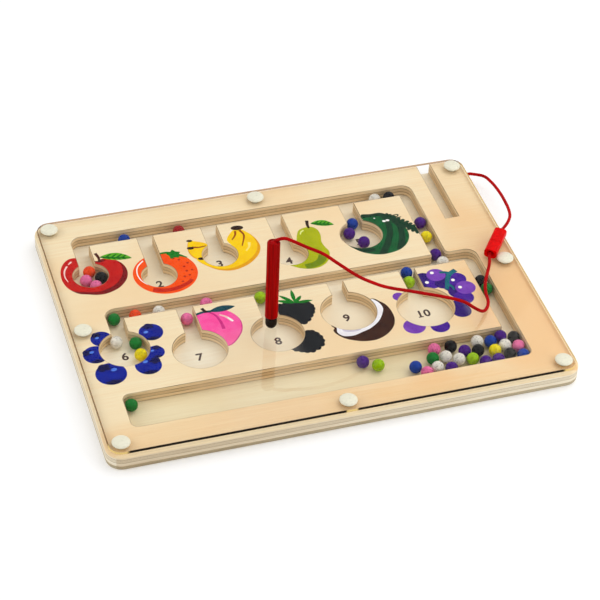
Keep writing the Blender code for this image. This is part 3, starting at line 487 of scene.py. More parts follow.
# Materials
class Shader:
    """The nodes of a new material or world, added by short calls."""

    def __init__(self, name, store=bpy.data.materials):
        self.owner = store.new(name)
        self.owner.use_nodes = True
        self.tree = self.owner.node_tree
        self.tree.nodes.clear()

    def add(self, kind, inputs=None, **settings):
        """A new node's outputs, its inputs set to values or linked to sockets."""
        made = self.tree.nodes.new(kind)
        for name, value in settings.items():
            setattr(made, name, value)
        for key, value in (inputs or {}).items():
            if isinstance(value, bpy.types.NodeSocket):
                self.tree.links.new(value, made.inputs[key])
            else:
                made.inputs[key].default_value = value
        return made.outputs

    def place(self, stretch=(1, 1, 1)):
        """Object coordinates in metres, stretched."""
        coordinates = self.add("ShaderNodeTexCoord")["Object"]
        return self.add("ShaderNodeMapping", {"Vector": coordinates, "Scale": stretch})[0]

    def axes(self):
        """Object coordinates x, y and z."""
        return self.add("ShaderNodeSeparateXYZ", {"Vector": self.place()})

    def noise(self, scale, detail, roughness):
        """Noise with one scale for all directions, or with one for each of three."""
        alike = isinstance(scale, float)
        return self.add("ShaderNodeTexNoise", {
            "Vector": self.place() if alike else self.place(scale),
            "Scale": scale if alike else 1.0, "Detail": detail, "Roughness": roughness,
        })["Fac"]

    def math(self, operation, *values):
        """One value's result, or that of several joined from left to right."""
        result = values[0]
        for value in values[1:] or (0.0,):
            result = self.add("ShaderNodeMath", {0: result, 1: value}, operation=operation)[0]
        return result

    def product(self, *values):
        return self.math("MULTIPLY", *values)

    def mixed(self, factor, first, second, blend="MIX"):
        return self.add(
            "ShaderNodeMix", {0: factor, 6: first, 7: second}, data_type="RGBA", blend_type=blend,
        )[2]

    def span(self, value, low, high, to_low=0.0, to_high=1.0):
        return self.add("ShaderNodeMapRange", {
            "Value": value, "From Min": low, "From Max": high, "To Min": to_low, "To Max": to_high,
        }, interpolation_type="SMOOTHSTEP")[0]

    def upright(self, normal, limit):
        """Whether this normal of the geometry lies nearer the level than this limit."""
        direction = self.add("ShaderNodeNewGeometry")[normal]
        up = self.add("ShaderNodeSeparateXYZ", {"Vector": direction})[2]
        return self.math("LESS_THAN", self.math("ABSOLUTE", up), limit)

    def seen(self):
        """Whether the ray comes from the view, straight or by way of a shine or a clear sheet."""
        paths = self.add("ShaderNodeLightPath")
        rays = ("Is Camera Ray", "Is Glossy Ray", "Is Transmission Ray")
        return self.math("MAXIMUM", *(paths[ray] for ray in rays))

    def coat(self, colour, roughness, gloss=0.5, relief=None, metallic=0.0):
        """A principled surface, with a bump where relief gives its height, strength and distance."""
        inputs = {
            "Base Color": colour, "Roughness": roughness, "Specular IOR Level": gloss,
            "Metallic": metallic,
        }
        if relief:
            inputs["Normal"] = self.add(
                "ShaderNodeBump", dict(zip(("Height", "Strength", "Distance"), relief)),
            )[0]
        return self.add("ShaderNodeBsdfPrincipled", inputs)[0]

    def blend(self, share, first, second):
        return self.add("ShaderNodeMixShader", {0: share, 1: first, 2: second})[0]

    def finish(self, surface, output="ShaderNodeOutputMaterial"):
        self.add(output, {"Surface": surface})
        return self.owner


def shade(colour, factor):
    return (*(channel * factor for channel in colour[:3]), 1.0)


def shifted(start, limits):
    return [start + limit for limit in limits]


def wood_colour(s, pale, deep, warm):
    """Fine straight grain along X, broad warm patches and small pores."""
    fibres = s.noise((22, 620, 620), 4.0, 0.55)
    figure = s.noise((9, 60, 60), 3.0, 0.6)
    patches = s.noise((9, 14, 9), 2.0, 0.5)
    pores = s.noise((160, 2600, 2600), 2.0, 0.5)
    grain = s.mixed(s.span(fibres, 0.30, 0.76, 0.0, 0.8), pale, deep)
    broad = s.mixed(s.span(figure, 0.38, 0.74, 0.0, 0.40), grain, deep)
    warmed = s.mixed(s.span(patches, 0.42, 0.66, 0.0, 0.8), broad, warm)
    return s.mixed(s.span(pores, 0.62, 0.74, 0.0, 0.25), warmed, shade(deep, 0.75)), fibres


def top_wood():
    """The maze layer's face: creamy in the middle, and warmer along the front and right edges."""
    s = Shader("maze_top_wood")
    cream, fibres = wood_colour(
        s, screen(246, 228, 190), screen(241, 214, 169), screen(244, 212, 164),
    )
    warm = wood_colour(s, screen(243, 210, 161), screen(236, 196, 140), screen(240, 191, 133))[0]
    place = s.axes()
    drift = s.span(s.noise((14, 14, 14), 2.0, 0.5), 0.2, 0.8, -WARM_DRIFT, WARM_DRIFT)
    x, y = (s.math("ADD", place[axis], drift) for axis in (0, 1))
    covered = s.product(
        s.span(place[1], COVER_LOW.y, COVER_LOW.y + COVERED_FADE),
        s.span(place[0], COVER_HIGH.x, COVER_HIGH.x - COVERED_FADE),
    )
    near_right = s.product(
        s.span(x, *shifted(RIGHT, WARM_FROM_RIGHT)), s.span(y, *WARM_ALONG_RIGHT, 0.40, 0.90),
    )
    near_front = s.product(
        s.span(y, *shifted(FRONT, WARM_FROM_FRONT)),
        s.span(x, LEFT + WARM_FROM_LEFT, 0.0, 0.6, 1.0),
    )
    edges = s.product(covered, s.math("MAXIMUM", near_right, near_front))
    return s.finish(s.coat(
        s.mixed(edges, cream, warm), s.span(fibres, 0.2, 0.8, 0.48, 0.62), 0.35,
        (fibres, 0.14, 0.00008),
    ))


def toned_front(s, colour):
    """The same colour, with the front side darker towards its left end: painted shade."""
    place = s.axes()
    front = s.math("LESS_THAN", place[1], FRONT + EDGE_ROUND)
    left = s.span(place[0], RIGHT, LEFT)
    return s.mixed(s.product(front, left), colour, screen(234, 226, 216), "MULTIPLY")


def ply_wood(name, pale, deep, line):
    """The maze layer's wood from its edge: layers with dark glue lines, every other one end grain."""
    s = Shader(name)
    wander = s.span(s.noise((26, 26, 0), 2.0, 0.5), 0.2, 0.8, -GLUE_WANDER, GLUE_WANDER)
    lifted = s.math("ADD", s.axes()[2], wander)
    layers = s.math("DIVIDE", s.math("SUBTRACT", lifted, MAZE_BOTTOM), PLY)
    within = s.math("FRACT", layers)
    odd = s.math("GREATER_THAN", s.math("FRACT", s.product(layers, 0.5)), 0.5)
    along = s.noise((40, 40, 1500), 3.0, 0.6)
    pores = s.noise((1500, 1500, 900), 2.0, 0.6)
    long_grain = s.mixed(s.span(along, 0.30, 0.70), pale, deep)
    end_grain = s.mixed(s.span(pores, 0.35, 0.70), shade(deep, 0.95), shade(deep, 0.80))
    layer = s.mixed(odd, long_grain, end_grain)
    edge = s.math("ABSOLUTE", s.math("SUBTRACT", within, 0.5))
    strength = s.noise((55, 55, 0), 2.0, 0.5)
    glue = s.product(s.span(edge, 0.37, 0.48), s.span(strength, 0.3, 0.7, 0.5, 0.95))
    # Painted shade: the outer front side darker towards its left end.
    colour = toned_front(s, s.mixed(glue, layer, line))
    return s.finish(s.coat(colour, 0.6, 0.3, (within, 0.15, 0.0001)))


def base_wood():
    """The base plate's wood: pale from above, greyer in the reservoir, layered at its sides."""
    s = Shader("base_plate_wood")
    pale, fibres = wood_colour(s, screen(251, 242, 218), screen(244, 230, 200), screen(246, 230, 198))
    place = s.axes()
    row_front = track_sides()["reservoir"][0][3]
    in_front = s.span(place[1], row_front + RESERVOIR_FADE, row_front)
    colour = s.mixed(in_front, pale, screen(245, 240, 222), "MULTIPLY")
    layer = s.math("FRACT", s.math("DIVIDE", place[2], (BASE_HIGH.z - BASE_LOW.z) / 2))
    edge = s.math("ABSOLUTE", s.math("SUBTRACT", layer, 0.5))
    streak = s.noise((45, 45, 1200), 3.0, 0.6)
    side = s.mixed(s.span(streak, 0.3, 0.7), screen(198, 184, 154), screen(176, 162, 132))
    lined = s.mixed(s.span(edge, 0.38, 0.48, 0.0, 0.7), side, screen(150, 130, 102))
    # The sides' colour carries painted shade: the front side darker towards its left end.
    return s.finish(s.coat(
        s.mixed(s.upright("Normal", 0.6), colour, toned_front(s, lined)), 0.58, 0.3,
        (fibres, 0.15, 0.00008),
    ))


def ink(name, low, high):
    """Screen-printed ink that lets a little of the grain through."""
    s = Shader(name)
    fibres = s.noise((16, 620, 620), 4.0, 0.55)
    colour = s.mixed(s.span(s.noise(160.0, 3.0, 0.5), 0.35, 0.65), low, high)
    grained = s.mixed(s.span(fibres, 0.50, 0.80, 0.0, 0.16), colour, shade(low, 0.8))
    return s.finish(s.coat(
        grained, s.span(fibres, 0.2, 0.8, 0.50, 0.65), 0.06, (fibres, 0.12, 0.00006),
    ))


def number_ink():
    s = Shader("number_ink")
    cloud = s.span(s.noise(900.0, 3.0, 0.6), 0.35, 0.7)
    return s.finish(s.coat(s.mixed(cloud, screen(44, 18, 6), screen(66, 34, 16)), 0.6))


def cord_braid():
    s = Shader("braided_cord")
    strands = s.noise(2200.0, 2.0, 0.6)
    broad = s.span(s.noise(90.0, 2.0, 0.5), 0.4, 0.7, 0.0, 0.4)
    colour = s.mixed(s.span(strands, 0.3, 0.7), screen(136, 0, 2), screen(192, 0, 6))
    return s.finish(s.coat(
        s.mixed(broad, colour, screen(220, 6, 8)), 0.62, 0.08, (strands, 0.5, 0.00008),
    ))


def lacquer():
    """Red lacquer with fine streaks up the pen."""
    s = Shader("streaked_lacquer")
    streaks = s.noise((1100, 1100, 14), 3.0, 0.6)
    broad = s.span(s.noise((240, 240, 22), 2.0, 0.5), 0.45, 0.8, 0.0, 0.6)
    colour = s.mixed(s.span(streaks, 0.28, 0.72), screen(110, 0, 0), screen(182, 0, 0))
    return s.finish(s.coat(
        s.mixed(broad, colour, screen(200, 0, 0)), s.span(streaks, 0.2, 0.8, 0.26, 0.40), 0.05,
        (streaks, 0.12, 0.00008),
    ))


def paint(name, colour, roughness, mottle, gloss, specks=0.12):
    """Sprayed paint: a faint orange peel, mottled, with darker specks of this strength."""
    s = Shader(name)
    colour = screen(*colour)
    cloud = s.noise(420.0, 3.0, 0.6)
    rubs = s.span(s.noise(1100.0, 1.0, 0.5), 0.60, 0.66, 0.0, specks)
    mottled = s.mixed(s.span(cloud, 0.38, 0.66), shade(colour, mottle), colour)
    return s.finish(s.coat(
        s.mixed(rubs, mottled, shade(colour, 0.25)),
        s.span(cloud, 0.3, 0.7, roughness - 0.05, roughness + 0.07), gloss,
        (s.noise(2400.0, 2.0, 0.5), 0.10, 0.00006),
    ))


def steel():
    s = Shader("magnet_steel")
    scratches = s.noise((900, 900, 60), 3.0, 0.6)
    colour = s.mixed(s.span(scratches, 0.3, 0.7), screen(150, 150, 154), screen(196, 196, 198))
    return s.finish(s.coat(colour, s.span(scratches, 0.2, 0.8, 0.22, 0.42), metallic=1.0))


def clear_cover():
    """Clear sheet: see-through faces with their gloss, and edges painted with light and shade: a dark
    shade line along the front, brown refraction at the sides and back, and a yellow glow near the
    front.
    """
    s = Shader("clear_sheet")
    place = s.axes()
    x, y, z = place
    board = (BOARD_LENGTH, BOARD_WIDTH)
    # Painted reflection strength: gloss raised in placed patches where the sheet mirrors the pen and
    # cord, lowered elsewhere.
    patches = [
        s.product(strength, *(
            s.span(place[axis], none * board[axis], full * board[axis])
            for axis, none, full in limits
        ))
        for strength, limits in MIRROR_PATCH_SHARES
    ]
    mirror_strength = s.span(s.math("MAXIMUM", *patches), 0.0, 1.0, *COVER_MIRROR_STRENGTH)
    outside = s.math("SUBTRACT", 1.0, s.add("ShaderNodeNewGeometry")["Backfacing"])
    gloss_share = s.product(s.add("ShaderNodeFresnel", {"IOR": 1.49})[0], outside, mirror_strength)
    clear = s.add("ShaderNodeBsdfTransparent", {"Color": (0.996, 0.996, 0.994, 1)})[0]
    gloss = s.add("ShaderNodeBsdfGlossy", {
        "Color": COVER_GLOSS_TINT,
        "Roughness": s.span(s.noise(22.0, 3.0, 0.6), 0.3, 0.7, 0.012, 0.03),
    })[0]
    faces = s.blend(gloss_share, clear, gloss)

    # Painted shade: a dark line along the front edge, between the middle cap and the corners.
    from_middle = s.math("ABSOLUTE", x)
    dark = s.product(s.span(from_middle, *SHADE_LINE_START), s.span(from_middle, *SHADE_LINE_END))
    front_shade_line = s.product(s.math("LESS_THAN", y, COVER_LOW.y + EDGE_ROUND), dark)
    right = s.math("GREATER_THAN", x, COVER_HIGH.x - EDGE_ROUND)
    back = s.math("GREATER_THAN", y, COVER_HIGH.y - EDGE_ROUND)
    # Painted edge colour: brown wood refracted in the right, left and back edges, and a painted yellow
    # glow near the front where the shade line is not.
    sides = s.mixed(right, screen(112, 74, 30), screen(214, 180, 112))
    edge_refraction = s.mixed(back, sides, screen(196, 152, 96))
    near_front = s.span(y, *shifted(COVER_LOW.y, CORNER_GLOW))
    glowing = s.product(near_front, s.math("SUBTRACT", 1.0, dark))
    lit = s.mixed(glowing, edge_refraction, screen(244, 214, 132))
    rim = s.coat(s.mixed(front_shade_line, lit, screen(14, 6, 0)), 0.4, 0.08)
    high_band = s.span(z, *shifted(COVER_LOW.z, EDGE_BAND))
    edges = s.blend(s.product(high_band, s.span(front_shade_line, 0.0, 1.0, 0.85, 1.0)), faces, rim)

    # Strips of the same painted shade and painted edge colour on the top face along the edges.
    top = s.math("GREATER_THAN", z, COVER_TOP - 0.0001)
    strip = s.math(
        "MAXIMUM", s.product(s.span(y, *shifted(COVER_LOW.y, FRONT_STRIP)), dark),
        s.span(x, *shifted(COVER_LOW.x, LEFT_STRIP), 0.0, 0.9),
        s.span(x, *shifted(COVER_HIGH.x, RIGHT_STRIP), 0.0, 0.7),
    )
    flats = s.blend(s.product(top, strip), faces, rim)
    return s.finish(s.blend(s.upright("True Normal", 0.5), flats, edges))


# Flat outlines, counter-clockwise
def arc(centre, radius, start, end, steps):
    return [
        Vector((centre[0] + radius * cos(angle), centre[1] + radius * sin(angle)))
        for angle in (start + (end - start) * k / steps for k in range(steps + 1))
    ]


def rounded_rectangle(sides, corners, steps=10):
    """corners maps the signs of x and y to a radius, and a corner left out stays sharp."""
    left, right, front, back = sides
    points = []
    for sign_x, sign_y, start in ((1, 1, 0), (-1, 1, 90), (-1, -1, 180), (1, -1, 270)):
        x = right if sign_x > 0 else left
        y = back if sign_y > 0 else front
        radius = corners.get((sign_x, sign_y), 0)
        if radius:
            centre = (x - sign_x * radius, y - sign_y * radius)
            points += arc(centre, radius, radians(start), radians(start + 90), steps)
        else:
            points.append(Vector((x, y)))
    return points


def all_corners(radius):
    return {(x, y): radius for x in (-1, 1) for y in (-1, 1)}


def dense(points, step=EDGE_STEP):
    """The same outline with no edge longer than this step."""
    result = []
    for a, b in zip(points, points[1:] + points[:1]):
        count = max(1, round((b - a).length / step))
        result += [a.lerp(b, k / count) for k in range(count)]
    return result


def grown(sides, size):
    left, right, front, back = sides
    return left - size, right + size, front - size, back + size


def track_sides():
    """Each straight track's rectangle and round corners."""
    top = (
        LEFT + TOP_TRACK_FROM_LEFT, RIGHT - UPPER_DROP_FROM_RIGHT,
        BACK - TOP_TRACK_FROM_BACK - TRACK_WIDTH, BACK - TOP_TRACK_FROM_BACK,
    )
    middle = (
        LEFT + MIDDLE_TRACK_FROM_LEFT, RIGHT - LOWER_DROP_FROM_RIGHT,
        BACK - MIDDLE_TRACK_FROM_BACK - TRACK_WIDTH, BACK - MIDDLE_TRACK_FROM_BACK,
    )
    reservoir = (
        LEFT + RESERVOIR_FROM_LEFT, RIGHT - LOWER_DROP_FROM_RIGHT,
        FRONT + RESERVOIR_FROM_FRONT, FRONT + RESERVOIR_FROM_FRONT + RESERVOIR_DEPTH,
    )
    upper = (top[1] - TRACK_WIDTH, top[1], middle[2], top[3])
    lower = (middle[1] - TRACK_WIDTH, middle[1], reservoir[2], middle[3])
    slot = (
        RIGHT - PEN_SLOT_FROM_RIGHT - PEN_SLOT_WIDTH, RIGHT - PEN_SLOT_FROM_RIGHT,
        BACK - PEN_SLOT_LENGTH, BACK + CUT_OVERRUN,
    )
    back_corners = {(-1, 1): TRACK_CORNER, (1, 1): TRACK_CORNER}
    return {
        "top": (top, back_corners),
        "upper": (upper, {(1, 1): TRACK_CORNER}),
        "middle": (middle, back_corners),
        "lower": (lower, {(1, 1): TRACK_CORNER, (1, -1): RESERVOIR_CORNER}),
        "reservoir": (reservoir, all_corners(RESERVOIR_CORNER)),
        "slot": (slot, {}),
    }


def pocket_places():
    """Centre, radius and neck rectangle of each pocket."""
    tracks = track_sides()
    top, middle, reservoir = (tracks[name][0] for name in ("top", "middle", "reservoir"))
    places = []
    for index, (x_share, y_share, radius_share, neck_share) in enumerate(POCKET_SHARES):
        on_top = index < POCKETS_ON_TOP_TRACK
        track = top if on_top else middle
        row_front = (middle if on_top else reservoir)[3]
        y = row_front + (track[2] - row_front) * y_share
        centre = Vector((x_share * BOARD_LENGTH, y))
        left = max(centre.x + neck_share * NECK_WIDTH - NECK_WIDTH / 2, track[0])
        neck = (left, left + NECK_WIDTH, centre.y, track[2] + TRACK_WIDTH / 2)
        places.append((centre, radius_share * BALL_DIAMETER, neck))
    return places


def cut_outlines(ease):
    """Every cut's outline, grown by ease."""
    outlines = []
    tracks = track_sides()
    for sides, corners in tracks.values():
        wider = {signs: radius + ease for signs, radius in corners.items()}
        outlines.append(dense(rounded_rectangle(grown(sides, ease), wider)))
    for centre, radius, neck in pocket_places():
        outlines.append(arc(centre, radius + ease, 0, 2 * pi, POCKET_SEGMENTS)[:-1])
        outlines.append(dense(rounded_rectangle(grown(neck, ease), {})))
    x, y = tracks["upper"][0][1], tracks["middle"][0][3]
    keep = arc((x + STEP_ROUND, y + STEP_ROUND), STEP_ROUND - ease, 1.5 * pi, pi, 8)
    outlines.append(
        [Vector((x, y)), Vector((x + STEP_ROUND, y))] + keep + [Vector((x, y + STEP_ROUND))]
    )
    for index in range(1, RIVETS + 1):
        low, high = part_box(f"rivet_{index}")
        outlines.append(arc((low + high) / 2, RIVET_BORE + ease, 0, 2 * pi, 24)[:-1])
    return outlines


# Printed pictures, each in units of its pocket's radius from the pocket's centre
def blob(points, steps=7):
    """A closed smooth outline through these points."""
    points = [Vector(point) for point in points]
    outline = []
    for i in range(len(points)):
        outline += curved(*(points[(i + k - 1) % len(points)] for k in range(4)), steps)
    return outline


def oval(x, y, radius_x, radius_y, turn=0.0, steps=40):
    return [
        Vector((
            x + radius_x * cos(a) * cos(turn) - radius_y * sin(a) * sin(turn),
            y + radius_x * cos(a) * sin(turn) + radius_y * sin(a) * cos(turn),
        ))
        for a in (2 * pi * k / steps for k in range(steps))
    ]


def bumpy(x, y, radius_x, radius_y, bumps, depth, steps=8):
    """An oval edged with small round bumps."""
    outline = []
    for k in range(bumps * steps):
        angle = 2 * pi * k / (bumps * steps)
        swell = 1 - depth + depth * abs(sin(bumps * angle / 2)) ** 0.6
        outline.append(Vector((x + radius_x * swell * cos(angle), y + radius_y * swell * sin(angle))))
    return outline


def left_of(ahead):
    return Vector((-ahead.y, ahead.x)).normalized()


def stroke(points, width, tip_width):
    """A ribbon along a smooth line through these points."""
    line = smooth_line(points, lambda length: 6)
    sides = ([], [])
    for index, point in enumerate(line):
        half = (width + (tip_width - width) * index / (len(line) - 1)) / 2
        across = left_of(ahead_at(line, index)) * half
        sides[0].append(point + across)
        sides[1].append(point - across)
    return sides[1] + sides[0][::-1]


def leaf(start, end, above, below, steps=14):
    """A pointed leaf, swelling above and below the line from start to end."""
    start, end = Vector(start), Vector(end)
    across = left_of(end - start)
    swells = [(k / steps, sin(pi * k / steps) ** 0.8) for k in range(steps)]
    low = [start.lerp(end, share) - across * below * swell for share, swell in swells]
    return low + [end.lerp(start, share) + across * above * swell for share, swell in swells]


def star(x, y, points, outer, inner, turn):
    return [
        Vector((x + radius * cos(turn + pi * k / points), y + radius * sin(turn + pi * k / points)))
        for k, radius in enumerate((outer, inner) * points)
    ]


def shaded_body(outline, dark, main, x, y):
    """The outline in its dark ink, and in its main ink where the shifted outline covers it."""
    return [(dark, outline, None), (main, [point + Vector((x, y)) for point in outline], outline)]


def leaf_print(start, end, above, below):
    """A green leaf with a dark midrib and side veins."""
    shape = leaf(start, end, above, below)
    start, end = Vector(start), Vector(end)
    veins = [((start, (start + end) / 2, end), 0.18)]
    ahead = (end - start) / 6
    across = left_of(ahead)
    for k in (1, 2, 3, 4):
        root = start + ahead * (k + 0.2)
        for side in (above, -below):
            tip = root + ahead * 0.9 + across * side * 0.8
            veins.append(((root, (root + tip) / 2, tip), 0.14))
    return [("leaf_green", shape, None)] + [
        ("leaf_dark", stroke(points, width, 0.06), shape) for points, width in veins
    ]


APPLE_SHARES = (
    (0.62, 1.12), (0.95, 1.24), (1.45, 1.12), (1.92, 0.62), (2.08, -0.05), (1.90, -0.75),
    (1.38, -1.36), (0.70, -1.68), (0.10, -1.72), (-0.50, -1.54), (-1.02, -1.32), (-1.47, -0.75),
    (-1.64, 0.00), (-1.54, 0.80), (-1.22, 1.40), (-0.80, 1.68), (-0.30, 1.60), (0.20, 1.30),
)
APPLE_SHINE_SHARES = ((-1.12, 1.08), (-1.34, 0.70), (-1.42, 0.20), (-1.34, -0.24))
APPLE_GLINT_SHARES = ((-0.80, 1.40), (-1.02, 1.20))
APPLE_STEM_SHARES = ((0.74, 1.00), (0.76, 1.40), (0.66, 1.80))
APPLE_LEAF_SHARES = ((0.82, 1.40), (2.58, 0.90))


def apple():
    body = blob(APPLE_SHARES)
    return [
        *shaded_body(body, "apple_dark", "apple_red", -0.22, 0.28),
        ("apple_pale", stroke(APPLE_SHINE_SHARES, 0.11, 0.05), body),
        ("apple_pale", stroke(APPLE_GLINT_SHARES, 0.12, 0.06), body),
        ("apple_dark", oval(0.78, 1.10, 0.30, 0.13), body),
        ("stem_brown", stroke(APPLE_STEM_SHARES, 0.13, 0.19), None),
        *leaf_print(*APPLE_LEAF_SHARES, 0.42, 0.20),
    ]


ORANGE_DOT_SHARES = (
    (1.80, 0.64), (1.90, 0.00), (1.58, -0.02), (1.35, -0.46), (1.53, 0.38), (1.39, 1.02),
    (1.10, 1.20), (1.66, -0.40), (1.14, -0.84),
)
ORANGE_SHINE_SHARES = ((-0.60, 1.42), (-1.02, 0.98), (-1.18, 0.40), (-1.10, -0.18), (-0.84, -0.62))
ORANGE_SHADE_SHARES = ((-0.64, -1.12), (-0.01, -1.33), (0.72, -1.30), (1.35, -1.06), (1.70, -0.80))
ORANGE_STEM_SHARES = ((0.45, 1.80), (0.85, 1.78), (1.25, 1.62))
ORANGE_TENDRIL_SHARES = ((1.22, 1.58), (1.55, 1.38), (1.90, 1.10))


def orange():
    body = oval(0.37, 0.09, 1.83, 1.76, steps=72)
    return [
        ("orange", body, None),
        ("orange_dark", stroke(ORANGE_SHADE_SHARES, 0.34, 0.22), body),
        *[("orange_dot", oval(x, y, 0.075, 0.065, steps=10), body) for x, y in ORANGE_DOT_SHARES],
        ("paper_white", stroke(ORANGE_SHINE_SHARES, 0.08, 0.05), body),
        ("calyx_green", stroke(ORANGE_STEM_SHARES, 0.13, 0.22), None),
        ("calyx_green", stroke(ORANGE_TENDRIL_SHARES, 0.30, 0.06), None),
        ("calyx_green", blob(star(1.22, 1.54, 5, 0.42, 0.28, 0.3), 3), None),
    ]


BANANA_SHARES = (
    (1.38, 1.92), (1.70, 1.84), (2.12, 1.30), (2.36, 0.62), (2.34, -0.02), (1.98, -0.66),
    (1.28, -1.22), (0.42, -1.48), (-0.35, -1.30), (-0.95, -0.78), (-1.38, -0.12), (-0.90, 0.10),
    (-0.62, -0.30), (-0.10, -0.62), (0.50, -0.60), (0.90, -0.10), (0.85, 0.55), (0.70, 1.10),
    (1.02, 1.62),
)
SMALL_BANANA_SHARES = (
    (-1.40, 1.56), (-1.10, 1.46), (-0.55, 1.14), (-0.40, 0.70), (-0.60, 0.20), (-1.00, -0.10),
    (-1.42, -0.02), (-1.64, 0.45), (-1.62, 1.00),
)
BANANA_LINE_SHARES = (
    ((1.36, 1.76), (1.26, 1.40), (0.98, 1.05)),
    ((1.62, 1.78), (1.74, 1.25), (1.40, 0.42)),
    ((-1.36, 0.98), (-0.98, 0.88), (-0.58, 0.92)),
)
BANANA_TIP_SHARES = ((-1.37, 1.55, 0.17, 0.10), (-1.47, 0.92, 0.20, 0.12), (-1.10, -0.10, 0.20, 0.12))
BANANA_SHINE_SHARES = ((1.86, 0.62), (1.76, 0.26), (1.50, -0.05))


def bananas():
    bunch = blob(BANANA_SHARES)
    return [
        *shaded_body(blob(SMALL_BANANA_SHARES), "banana_dark", "banana", 0.06, 0.08),
        *shaded_body(bunch, "banana_dark", "banana", -0.12, 0.20),
        *[("banana_line", stroke(line, 0.14, 0.07), None) for line in BANANA_LINE_SHARES],
        ("banana_pale", stroke(BANANA_SHINE_SHARES, 0.16, 0.08), bunch),
        *[("tip_black", oval(*tip, -0.2, 20), None) for tip in BANANA_TIP_SHARES],
        ("tip_black", oval(1.54, 2.00, 0.36, 0.20, -0.1, 24), None),
    ]


PEAR_SHARES = (
    (1.38, 1.94), (1.80, 1.94), (2.08, 1.62), (2.12, 1.10), (2.00, 0.55), (2.04, 0.10),
    (2.16, -0.40), (1.95, -1.02), (1.45, -1.46), (0.85, -1.58), (0.15, -1.36), (-0.42, -0.84),
    (-0.30, -0.40), (0.30, 0.10), (0.60, 0.80), (0.82, 1.42), (1.04, 1.80),
)
PEAR_SHINE_SHARES = ((1.30, 1.74), (1.12, 1.62), (1.02, 1.42))
PEAR_SHADE_SHARES = ((0.50, -1.32), (1.05, -1.26), (1.48, -1.02), (1.74, -0.62))
PEAR_STEM_SHARES = ((1.66, 1.84), (1.66, 2.14), (1.74, 2.52))
PEAR_LEAF_SHARES = ((1.86, 2.22), (3.14, 1.80))


def pear():
    body = blob(PEAR_SHARES)
    return [
        ("pear", body, None),
        ("pear_dark", stroke(PEAR_SHADE_SHARES, 0.40, 0.52), body),
        ("pear_pale", stroke(PEAR_SHINE_SHARES, 0.11, 0.07), body),
        ("tip_black", stroke(PEAR_STEM_SHARES, 0.13, 0.20), None),
        *leaf_print(*PEAR_LEAF_SHARES, 0.36, 0.16),
    ]


MELON_SHARES = (
    (0.43, 1.35), (0.88, 1.31), (1.37, 1.29), (1.68, 1.02), (1.90, 0.62), (2.14, 0.25),
    (2.22, -0.30), (2.11, -0.80), (1.77, -1.27), (1.25, -1.56), (0.46, -1.63), (-0.25, -1.33),
    (-0.66, -0.90), (-0.88, -0.52), (-0.96, -0.16), (-0.40, -0.20), (0.20, 0.20), (0.40, 0.80),
)
MELON_STRIPE_SHARES = (
    ((1.34, 1.28), (1.50, 0.66), (1.40, -0.10), (1.06, -0.84), (0.50, -1.66)),
    ((1.76, 0.90), (1.96, 0.10), (1.80, -0.70), (1.44, -1.52)),
    ((0.30, -1.20), (0.02, -1.20), (-0.40, -1.10), (-0.74, -0.66)),
)
MELON_TOP_SHARES = ((0.36, 1.22), (0.80, 1.24), (1.24, 1.22), (1.62, 0.98))
MELON_LEAF_SHARES = ((1.66, 0.92), (2.74, -0.44))
MELON_CURL_SHARES = ((1.74, 0.78), (1.92, 0.96), (2.16, 0.94), (2.04, 0.78), (2.26, 0.76))
MELON_SPOT_SHARES = ((1.36, 0.65, 0.09), (1.54, 0.67, 0.09), (0.98, 0.96, 0.04))


def melon():
    body = blob(MELON_SHARES)
    start, end = (Vector(corner) for corner in MELON_LEAF_SHARES)
    frills = [(start.lerp(end, k / 8), 0.35 - 0.12 * abs(k - 4) / 4) for k in range(9)]
    return [
        ("melon", body, None),
        *[("melon_dark", stroke(line, 0.26, 0.34), body) for line in MELON_STRIPE_SHARES],
        ("melon_dark", stroke(MELON_TOP_SHARES, 0.24, 0.34), body),
        *[("melon_dark", bumpy(*place, size, 0.28, 6, 0.45), None) for place, size in frills],
        ("melon_dark", stroke(MELON_CURL_SHARES, 0.08, 0.05), None),
        *[("paper_white", oval(x, y, r, r * 0.8, -0.3, 18), body) for x, y, r in MELON_SPOT_SHARES],
    ]


# Each berry's centre and radius, then the directions of its crown and its shine
BLUEBERRY_SHARES = (
    (-0.76, 0.78, 0.43, 2.2, 2.6), (-1.18, -0.06, 0.50, 2.6, 2.2), (-0.84, -1.27, 0.62, 2.1, 0.9),
    (1.24, 0.68, 0.49, 1.7, 2.9), (1.14, -0.49, 0.36, 1.2, 2.4), (0.68, -1.15, 0.53, 0.5, 1.9),
)


def blueberries():
    layers = []
    for x, y, radius, crown, shine in BLUEBERRY_SHARES:
        berry = oval(x, y, radius, radius, steps=48)
        crown_x, crown_y = x + radius * 0.74 * cos(crown), y + radius * 0.74 * sin(crown)
        shine_x, shine_y = x + radius * 0.42 * cos(shine), y + radius * 0.42 * sin(shine)
        patch = bumpy(crown_x, crown_y, radius * 0.52, radius * 0.36, 5, 0.35)
        under = bumpy(x, y - radius * 0.80, radius * 0.60, radius * 0.26, 6, 0.35)
        point = oval(crown_x, crown_y, radius * 0.34, radius * 0.34, steps=24)
        glint = oval(shine_x, shine_y, radius * 0.20, radius * 0.14, 0.2, 18)
        layers += [
            ("navy_dark", point, None), ("navy", berry, None), ("navy_dark", patch, berry),
            ("navy_dark", under, berry), ("navy_pale", glint, berry),
        ]
    return layers


